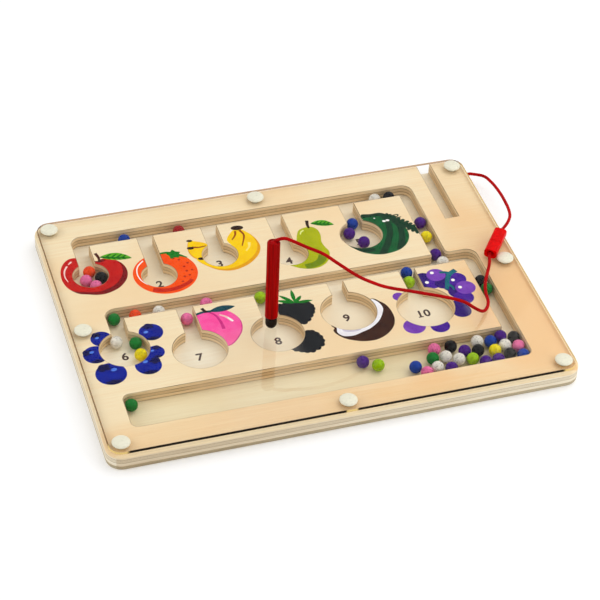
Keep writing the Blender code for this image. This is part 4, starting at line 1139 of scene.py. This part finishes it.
PEACH_SHARES = (
    (0.25, 1.74), (0.75, 1.86), (1.20, 1.92), (1.62, 1.62), (1.84, 1.08), (1.68, 0.45),
    (1.10, -0.10), (0.60, 0.20), (0.20, 0.80),
)
PEACH_CREASE_SHARES = ((0.76, 1.88), (1.00, 1.62), (1.10, 1.25), (1.12, 0.82))
PEACH_SHINE_SHARES = ((1.16, 1.60), (1.36, 1.44), (1.52, 1.20))
PEACH_GLINT_SHARES = ((1.42, 1.38), (1.55, 1.14))
PEACH_TWIG_SHARES = ((0.28, 1.80), (0.60, 1.88), (0.92, 1.86))
PEACH_LEAF_SHARES = ((0.84, 1.86), (1.84, 1.92))
PEACH_STEM_SHARES = ((0.76, 1.84), (0.66, 1.98), (0.62, 2.10))


def peach():
    body = blob(PEACH_SHARES)
    return [
        *shaded_body(body, "peach_dark", "peach", -0.03, 0.04),
        ("peach_dark", stroke(PEACH_CREASE_SHARES, 0.05, 0.13), body),
        ("apple_pale", stroke(PEACH_SHINE_SHARES, 0.06, 0.12), body),
        ("paper_white", stroke(PEACH_GLINT_SHARES, 0.05, 0.09), body),
        ("teal_dark", stroke(PEACH_TWIG_SHARES, 0.10, 0.12), None),
        ("teal_dark", leaf(*PEACH_LEAF_SHARES, 0.17, 0.14), None),
        ("tip_black", stroke(PEACH_STEM_SHARES, 0.10, 0.13), None),
    ]


BERRY_LEAF_SHARES = ((0.62, 2.02), (1.18, 2.22), (1.46, 1.80), (1.82, 1.44), (0.72, 1.66), (0.42, 1.76))
HIGH_BERRY_SHARES = (
    (0.30, 1.32), (0.70, 1.50), (1.20, 1.48), (1.62, 1.30), (1.70, 0.98), (1.50, 0.60),
    (1.14, 0.26), (0.60, 0.40),
)
LOW_BERRY_SHARES = (
    (0.24, -0.92), (0.60, -0.60), (0.96, -0.26), (1.28, -0.24), (1.50, -0.60), (1.44, -1.02),
    (0.98, -1.28), (0.56, -1.16),
)


def blackberries():
    layers = []
    for body in (blob(HIGH_BERRY_SHARES, 4), blob(LOW_BERRY_SHARES, 4)):
        middle = sum(body, Vector((0, 0))) / len(body)
        layers.append(("berry_black", body, None))
        for corner in body[::2]:
            knob = corner + (middle - corner) * 0.10
            layers.append(("berry_black", oval(*knob, 0.14, 0.14, steps=14), None))
    for tip in BERRY_LEAF_SHARES:
        layers.append(("calyx_green", leaf((1.12, 1.46), tip, 0.08, 0.08, 8), None))
    return layers


COCONUT_SHARES = (
    (-0.80, -0.40), (-0.84, -0.62), (-0.78, -0.75), (-0.85, -0.86), (-0.80, -1.06), (-0.58, -1.35),
    (-0.23, -1.56), (0.10, -1.67), (0.51, -1.68), (0.94, -1.50), (1.28, -1.18), (1.45, -0.80),
    (1.47, -0.40), (1.40, -0.05), (1.24, 0.20), (0.98, 0.42), (0.40, 0.20), (-0.30, -0.20),
)
COCONUT_MILK_SHARES = (
    (-0.72, -0.49), (-0.70, -0.76), (-0.74, -1.00), (-0.58, -1.22), (-0.24, -1.28), (0.12, -1.18),
    (0.49, -1.05), (0.90, -0.74), (1.20, -0.26), (1.21, 0.05), (1.09, 0.30), (0.92, 0.38),
    (0.40, 0.10), (-0.30, -0.20),
)
COCONUT_SHADE_SHARES = (
    (-0.47, -0.78), (-0.33, -0.88), (-0.02, -0.93), (0.12, -1.04), (-0.11, -1.10), (-0.42, -1.04),
    (-0.54, -0.92),
)


def coconut():
    shell = blob(COCONUT_SHARES)
    milk = blob(COCONUT_MILK_SHARES)
    return [
        ("coconut_shell", shell, None),
        ("coconut_milk", milk, shell),
        ("coconut_shade", blob(COCONUT_SHADE_SHARES), milk),
    ]


GRAPE_SHARES = (
    (1.04, 1.32, 0.30, "grape_dark"), (0.60, 1.30, 0.30, "grape_dark"),
    (0.42, 1.44, 0.28, "grape_dark"), (0.36, 1.14, 0.26, "grape_dark"),
    (0.66, 1.06, 0.26, "grape"), (1.00, 1.00, 0.30, "grape_dark"), (1.24, 0.80, 0.32, "grape_dark"),
    (1.52, 1.10, 0.36, "grape"), (1.34, 0.46, 0.34, "grape_dark"), (1.44, 0.12, 0.36, "grape"),
    (1.24, -0.20, 0.32, "grape_dark"), (1.13, -0.52, 0.34, "grape_dark"),
    (0.90, 1.48, 0.34, "grape_light"), (1.68, 0.60, 0.36, "grape_light"),
    (-0.72, -0.86, 0.39, "grape_light"), (0.14, -1.06, 0.34, "grape"),
    (-0.74, 0.72, 0.22, "grape_light"),
)
GRAPE_GLINT_SHARES = ((0.46, 1.18), (0.80, 1.62), (1.39, 1.08), (1.50, 0.66))
GRAPE_STEM_SHARES = ((1.02, 0.66), (1.18, 1.08), (1.38, 1.40), (1.66, 1.56))
GRAPE_TWIG_SHARES = ((1.40, 1.44), (1.24, 1.54), (1.06, 1.58))
GRAPE_LOBE_SHARES = ((1.12, 0.94), (1.24, 0.76), (1.26, 0.58))


def grapes():
    return [
        *[(colour, oval(x, y, r, r * 0.94, steps=40), None) for x, y, r, colour in GRAPE_SHARES],
        ("teal", stroke(GRAPE_STEM_SHARES, 0.13, 0.20), None),
        ("teal", stroke(GRAPE_TWIG_SHARES, 0.14, 0.10), None),
        ("teal", stroke(GRAPE_LOBE_SHARES, 0.12, 0.06), None),
        *[("paper_white", oval(x, y, 0.07, 0.07, steps=14), None) for x, y in GRAPE_GLINT_SHARES],
    ]


PICTURES = (apple, orange, bananas, pear, melon, blueberries, peach, blackberries, coconut, grapes)


def print_layers():
    """Every print's ink, outline and mask in metres on the board, from bottom to top."""
    layers = []
    for picture, (centre, radius, _) in zip(PICTURES, pocket_places()):
        for colour, *outlines in picture():
            layers.append((colour, *(
                outline and [centre + point * radius for point in outline] for outline in outlines
            )))
    return layers


# The maze layer, with its prints cut exactly where the tracks and pockets cut the wood
def turned_left(outline):
    """The outline counter-clockwise."""
    area = sum(a.x * b.y - b.x * a.y for a, b in zip(outline, outline[1:] + outline[:1]))
    return outline if area > 0 else outline[::-1]


def on_outer_edge(point):
    """Whether a point lies on the top face's outer outline."""
    corner = BOARD_CORNER - EDGE_ROUND
    x = abs(point.x) - (BOARD_LENGTH / 2 - EDGE_ROUND - corner)
    y = abs(point.y) - (BOARD_WIDTH / 2 - EDGE_ROUND - corner)
    beyond = Vector((max(x, 0), max(y, 0))).length + min(max(x, y), 0) - corner
    return abs(beyond) < 0.00004


def push_out(first, second):
    """How far a corner between two edges moves, from each edge's (normal, distance)."""
    (n1, r1), (n2, r2) = first, second
    cross = n1.x * n2.y - n1.y * n2.x
    if abs(cross) < 0.05:
        return (n1 + n2).normalized() * (r1 + r2) / 2
    return Vector(((r1 * n2.y - r2 * n1.y) / cross, (n1.x * r2 - n2.x * r1) / cross))


def planned_faces():
    """The solid top's points, and its triangles with their material numbers."""
    polygons = [dense(rounded_rectangle(
        (LEFT + EDGE_ROUND, RIGHT - EDGE_ROUND, FRONT + EDGE_ROUND, BACK - EDGE_ROUND),
        all_corners(BOARD_CORNER - EDGE_ROUND),
    ))]
    polygons += cut_outlines(CUT_ROUND)
    cut_numbers = set(range(1, len(polygons)))
    ink_names = list(INKS)
    stack = []
    for colour, *outlines in print_layers():
        shapes = [outline for outline in outlines if outline]
        numbers = set(range(len(polygons), len(polygons) + len(shapes)))
        polygons += shapes
        stack.append((numbers, ink_names.index(colour) + 3))
    points = []
    faces = []
    for polygon in polygons:
        faces.append(list(range(len(points), len(points) + len(polygon))))
        points += turned_left(polygon)
    flat, _, triangles, _, _, owners = delaunay_2d_cdt(points, [], faces, 1, 1e-7)
    kept = []
    for triangle, owner in zip(triangles, map(set, owners)):
        if 0 in owner and not owner & cut_numbers:
            found = [number for numbers, number in stack if numbers <= owner]
            kept.append((tuple(triangle), found[-1] if found else 0))
    return flat, kept


def rim_edges(flat, kept):
    """Each rim edge and whether it is an outer one, and how far each rim point moves and drops."""
    directed = dict.fromkeys(
        edge for triangle, _ in kept for edge in zip(triangle, triangle[1:] + triangle[:1])
    )
    rim = {}
    found = {}
    for a, b in directed:
        if (b, a) in directed:
            continue
        ahead = flat[b] - flat[a]
        normal = Vector((ahead.y, -ahead.x)).normalized()
        rim[(a, b)] = on_outer_edge(flat[a]) and on_outer_edge(flat[b])
        size = EDGE_ROUND if rim[(a, b)] else CUT_ROUND
        for index in (a, b):
            found.setdefault(index, []).append((normal, size))
    return rim, {
        index: (push_out(sides[0], sides[-1]), (sides[0][1] + sides[-1][1]) / 2)
        for index, sides in found.items()
    }


def maze_mesh():
    """Wood on the flats is material 0, ply on the outer side 1 and in the cuts 2, inks from 3."""
    flat, kept = planned_faces()
    rim, pushes = rim_edges(flat, kept)
    bm = bmesh.new()
    used = sorted({index for triangle, _ in kept for index in triangle})
    top = {index: bm.verts.new((*flat[index], MAZE_TOP)) for index in used}
    bottom = {}
    for index in used:
        shift = pushes[index][0] if index in pushes else Vector((0, 0))
        bottom[index] = bm.verts.new((*(flat[index] + shift), MAZE_BOTTOM))
    for triangle, number in kept:
        bm.faces.new([top[i] for i in triangle]).material_index = number
        bm.faces.new([bottom[i] for i in reversed(triangle)])
    rings = [top]
    for step in range(1, ROUND_STEPS + 1):
        angle = step / ROUND_STEPS * pi / 2
        ring = {}
        for index, (push, drop) in pushes.items():
            place = flat[index] + push * sin(angle)
            ring[index] = bm.verts.new((*place, MAZE_TOP - drop * (1 - cos(angle))))
        rings.append(ring)
    rings.append(bottom)
    for (a, b), outer in rim.items():
        for level, (ring, after) in enumerate(zip(rings, rings[1:])):
            face = bm.faces.new((ring[b], ring[a], after[a], after[b]))
            face.smooth = True
            rounding = level < ROUND_STEPS
            face.material_index = (0 if rounding else 1) if outer else 2
    return bm


def maze_layer():
    obj = mesh_object("printed_maze_layer", maze_mesh())
    obj.data.set_sharp_from_angle(angle=radians(40))
    materials = [
        top_wood(),
        ply_wood("maze_edge_ply", screen(250, 240, 216), screen(238, 224, 196), screen(176, 152, 116)),
        # The cuts' ply is a darker, warmer copy of the side ply: painted shade of the recesses, over
        # the real glue lines.
        ply_wood("shaded_maze_wall_ply", screen(240, 216, 174), screen(222, 192, 146), screen(96, 66, 34)),
    ]
    materials += [
        ink(f"ink_{name}", *(screen(*tone) for tone in tones)) for name, tones in INKS.items()
    ]
    dress(obj, materials, "board", "maze_layer")


def glyph(character, offset):
    """A character's flat mesh, with its left end at offset, and where it ends."""
    curve = bpy.data.curves.new("glyph", "FONT")
    curve.body = character
    curve.size = DIGIT_HEIGHT / 0.70
    curve.offset = DIGIT_SWELL
    curve.bevel_depth = DIGIT_SWELL
    curve.bevel_resolution = 0
    text = linked("glyph", curve)
    bpy.context.view_layer.update()
    mesh = bpy.data.meshes.new_from_object(text)
    bpy.data.objects.remove(text)
    bpy.data.curves.remove(curve)
    low = Vector((min(v.co.x for v in mesh.vertices), min(v.co.y for v in mesh.vertices), 0))
    mesh.transform(Matrix.Translation(Vector((offset, 0, 0)) - low))
    bm = bmesh.new()
    bm.from_mesh(mesh)
    bpy.data.meshes.remove(mesh)
    end = max(v.co.x for v in bm.verts)
    if character == "1":
        foot = [v.co.x for v in bm.verts if v.co.y < DIGIT_HEIGHT * 0.2]
        stem = (max(foot) + min(foot)) / 2
        half, thick = DIGIT_HEIGHT * DIGIT_FOOT_SHARES[0] / 2, DIGIT_HEIGHT * DIGIT_FOOT_SHARES[1]
        corners = ((-half, 0), (half, 0), (half, thick), (-half, thick))
        bm.faces.new([bm.verts.new((stem + x, y, 0)) for x, y in corners])
        end = stem + half
    return bm, end


def absorb(bm, other):
    """All of the other mesh, added to this one."""
    mesh = bpy.data.meshes.new("absorbed")
    other.to_mesh(mesh)
    other.free()
    bm.from_mesh(mesh)
    bpy.data.meshes.remove(mesh)


def digits():
    """The pockets' numbers, printed on the floor."""
    bm = bmesh.new()
    spots = zip(pocket_places(), DIGIT_SHARES)
    for number, ((centre, radius, _), (x_share, y_share)) in enumerate(spots, start=1):
        word = bmesh.new()
        end = 0.0
        for character in str(number):
            letter, end = glyph(character, end)
            end += DIGIT_SPACE
            absorb(word, letter)
        low, high = (pick(v.co.x for v in word.verts) for pick in (min, max))
        shift = Vector((
            centre.x + x_share * radius - (high - low) / 2 - low,
            centre.y + y_share * radius + DIGIT_RISE - DIGIT_HEIGHT / 2, BASE_HIGH.z + DIGIT_LIFT,
        ))
        bmesh.ops.translate(word, vec=shift, verts=word.verts)
        absorb(bm, word)
    dress(mesh_object("pocket_numbers", bm, False), (number_ink(),), "board")


# Turned pieces and balls
def turned(name, profile, segments, matrix, smooth_angle=radians(50)):
    """A closed solid of revolution through these (radius, height) points, from top to bottom."""
    bm = bmesh.new()
    rings = []
    for radius, height in profile:
        places = [(0, 0, height)]
        if radius >= 1e-6:
            turns = (2 * pi * k / segments for k in range(segments))
            places = [(radius * cos(turn), radius * sin(turn), height) for turn in turns]
        rings.append([bm.verts.new(place) for place in places])
    for ring, after in zip(rings, rings[1:]):
        for k in range(segments):
            places = ((ring, k), (after, k), (after, k + 1), (ring, k + 1))
            unique = list(dict.fromkeys(verts[j % segments % len(verts)] for verts, j in places))
            if len(unique) > 2:
                bm.faces.new(unique)
    bmesh.ops.recalc_face_normals(bm, faces=bm.faces)
    obj = mesh_object(name, bm, True)
    obj.data.set_sharp_from_angle(angle=smooth_angle)
    obj.matrix_world = matrix
    return obj


def caps():
    material = paint("ivory_cap", (238, 234, 210), roughness=0.32, mottle=0.93, gloss=0.4)
    for index in range(1, RIVETS + 1):
        low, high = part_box(f"rivet_{index}")
        radius = (high.x - low.x) / 2
        middle = (low + high) / 2
        head_low = COVER_TOP + FIT_GAP
        head = high.z - head_low
        rim = head * CAP_RIM_SHARE
        lip = head * CAP_LIP_SHARE
        shank = radius * CAP_SHANK_SHARE
        dome = [
            (radius * CAP_DOME_SHARE * sin(a), head_low + rim + (head - rim) * cos(a))
            for a in (pi / 2 * k / 12 for k in range(12))
        ]
        profile = [
            *dome, (radius, head_low + rim * 0.9),
            *arc((radius - lip, head_low + lip), lip, 0, -pi / 2, 4),
            (shank, head_low), (shank, low.z), (0, low.z),
        ]
        place = Matrix.Translation((middle.x, middle.y, 0))
        cap = turned(f"cap_{index}", profile, 56, place, radians(60))
        dress(cap, (material,), "board", f"rivet_{index}")


def ball_places(node):
    """The balls' centres in this node, from front to back: each has one highest point."""
    tops = {
        (round(v.co.x, 5), round(v.co.y, 5))
        for v in node.data.vertices if v.co.z > BALL_Z + BALL_RADIUS * 0.999
    }
    return [Vector((x, y, BALL_Z)) for x, y in sorted(tops, key=lambda top: top[1])]


def balls():
    """Round balls in place of the coarse ones, each turned its own way."""
    materials = {
        name: paint(
            f"ball_{name}_paint", colour, roughness=0.36, mottle=0.76, gloss=0.10, specks=0.8,
        )
        for name, colour in BALL_COLOURS.items()
    }
    for body, members in frame["record"]["behaviour"]["bodies"].items():
        for name in members:
            if not name.startswith("ball_"):
                continue
            node = frame["nodes"][name]
            own_colour = node.data.materials[0].name.split(".")[0].removeprefix("ball_")
            colours = HEAP_COLOURS.get(name, (own_colour,))
            for index, (place, colour) in enumerate(zip(ball_places(node), colours), start=1):
                bm = bmesh.new()
                bmesh.ops.create_uvsphere(bm, u_segments=40, v_segments=24, radius=BALL_RADIUS)
                ball = mesh_object(f"{name.replace('ball_', 'steel_ball_')}_{index}", bm, True)
                turn = Matrix.Rotation(BALL_TURN[0] * index + BALL_TURN[1] * place.x, 4, "Z")
                tilt = Matrix.Rotation(BALL_TILT[0] + BALL_TILT[1] * place.y, 4, "X")
                ball.matrix_world = Matrix.Translation(place) @ turn @ tilt
                first_name = name if index == 1 else None
                dress(ball, (materials[colour],), body, first_name)


def pen(braid):
    lean = Vector((0, 0, 1)).rotation_difference(PEN_UP).to_matrix().to_4x4()
    matrix = Matrix.Translation(PEN_FOOT) @ lean
    socket = PEN_SOCKET_RADIUS
    low = PEN_TIP_LENGTH + FIT_GAP
    stick = turned("lacquered_stick", [
        (0, PEN_LENGTH - PEN_SOCKET_DEPTH),
        (socket, PEN_LENGTH - PEN_SOCKET_DEPTH),
        (socket, PEN_LENGTH - PEN_SOCKET_FLARE_DEPTH),
        (socket + PEN_SOCKET_FLARE * 0.5, PEN_LENGTH - PEN_SOCKET_FLARE_DEPTH * 0.45),
        (PEN_RADIUS - PEN_SHOULDER, PEN_LENGTH),
        *arc((PEN_RADIUS - PEN_SHOULDER, PEN_LENGTH - PEN_SHOULDER), PEN_SHOULDER, pi / 2, 0, 8),
        (PEN_RADIUS, low + PEN_BEVEL), (PEN_RADIUS - PEN_BEVEL, low), (0, low),
    ], 64, matrix, radians(40))
    dress(stick, (lacquer(),), "pen", "pen_body")

    radius = PEN_RADIUS - PEN_TIP_INSET
    top = PEN_TIP_LENGTH
    quarter = [pi / 2 * k / 14 for k in range(14)]
    tip = turned("rounded_tip", [
        (0, top), (radius - PEN_TIP_BEVEL, top), (radius, top - PEN_TIP_BEVEL),
        *((radius * cos(a), top / 2 * (1 - sin(a))) for a in quarter), (0, 0),
    ], 56, matrix, radians(40))
    material = paint("glossy_tip", (12, 4, 6), roughness=0.20, mottle=0.7, gloss=0.16)
    dress(tip, (material,), "pen", "pen_tip")
    frame["nodes"]["pen_magnet"].data.materials[0] = steel()

    size = PEN_RADIUS * PEN_KNOT_SHARES[0]
    knot = turned("cord_knot", [
        (size * sin(a) * (1 + 0.05 * cos(9 * a)), size * PEN_KNOT_SHARES[1] * cos(a))
        for a in (pi * k / 24 for k in range(25))
    ], 40, matrix @ Matrix.Translation((0, 0, PEN_LENGTH - size * PEN_KNOT_SHARES[2])))
    dress(knot, (braid,), "pen")


def clasp():
    material = paint("clasp_plastic", (234, 0, 0), roughness=0.34, mottle=0.80, gloss=0.05)
    for name in ("clasp_plug", "clasp_socket"):
        node = frame["nodes"][name]
        node.data.materials[0] = material
        softened = node.modifiers.new("soft_edges", "BEVEL")
        softened.width = CLASP_EDGE
        softened.segments = 3
        softened.limit_method = "ANGLE"
        softened.angle_limit = radians(40)


# Floor and light
def floor():
    bm = bmesh.new()
    corners = ((-1, -1), (1, -1), (1, 1), (-1, 1))
    bm.faces.new([bm.verts.new((x * FLOOR_REACH, y * FLOOR_REACH, 0)) for x, y in corners])
    obj = mesh_object("studio_floor", bm)
    obj.location.z = CAD_BOX[0][2] - FLOOR_DROP
    s = Shader("studio_white")
    seen = s.seen()
    diffuse = s.add("ShaderNodeBsdfDiffuse", {"Color": s.mixed(seen, *FLOOR_WHITES)})[0]
    lift = s.add("ShaderNodeEmission", {"Strength": s.product(seen, FLOOR_LIFT)})[0]
    obj.data.materials.append(s.finish(s.add("ShaderNodeAddShader", {0: diffuse, 1: lift})[0]))


def softbox(name, place, size, power):
    """An area lamp that shines on the board's middle."""
    light = bpy.data.lights.new(name, "AREA")
    light.shape = "RECTANGLE"
    light.size, light.size_y = size
    light.energy = power
    linked(name, light).matrix_world = aimed(place, (0, 0, 0))


def studio():
    s = Shader("studio", bpy.data.worlds)
    back = s.add("ShaderNodeBackground", {
        "Color": (1, 1, 1, 1), "Strength": s.span(s.seen(), 0.0, 1.0, *ROOM_LIGHT),
    })[0]
    bpy.context.scene.world = s.finish(back, "ShaderNodeOutputWorld")
    softbox("key_light", (0.9, 0.5, 1.6), (1.5, 1.5), 11)
    softbox("left_light", (-0.9, 0.1, 0.5), (0.8, 0.5), 2.2)
    softbox("right_light", (0.75, -0.6, 0.5), (0.9, 0.7), 2.9)
    bpy.context.scene.view_settings.view_transform = "Standard"


camera()
braid = cord_braid()
cords(braid)
clasp()
pen(braid)
balls()
maze_layer()
frame["nodes"]["base_plate"].data.materials[0] = base_wood()
digits()
frame["nodes"]["cover_sheet"].data.materials[0] = clear_cover()
caps()
floor()
studio()
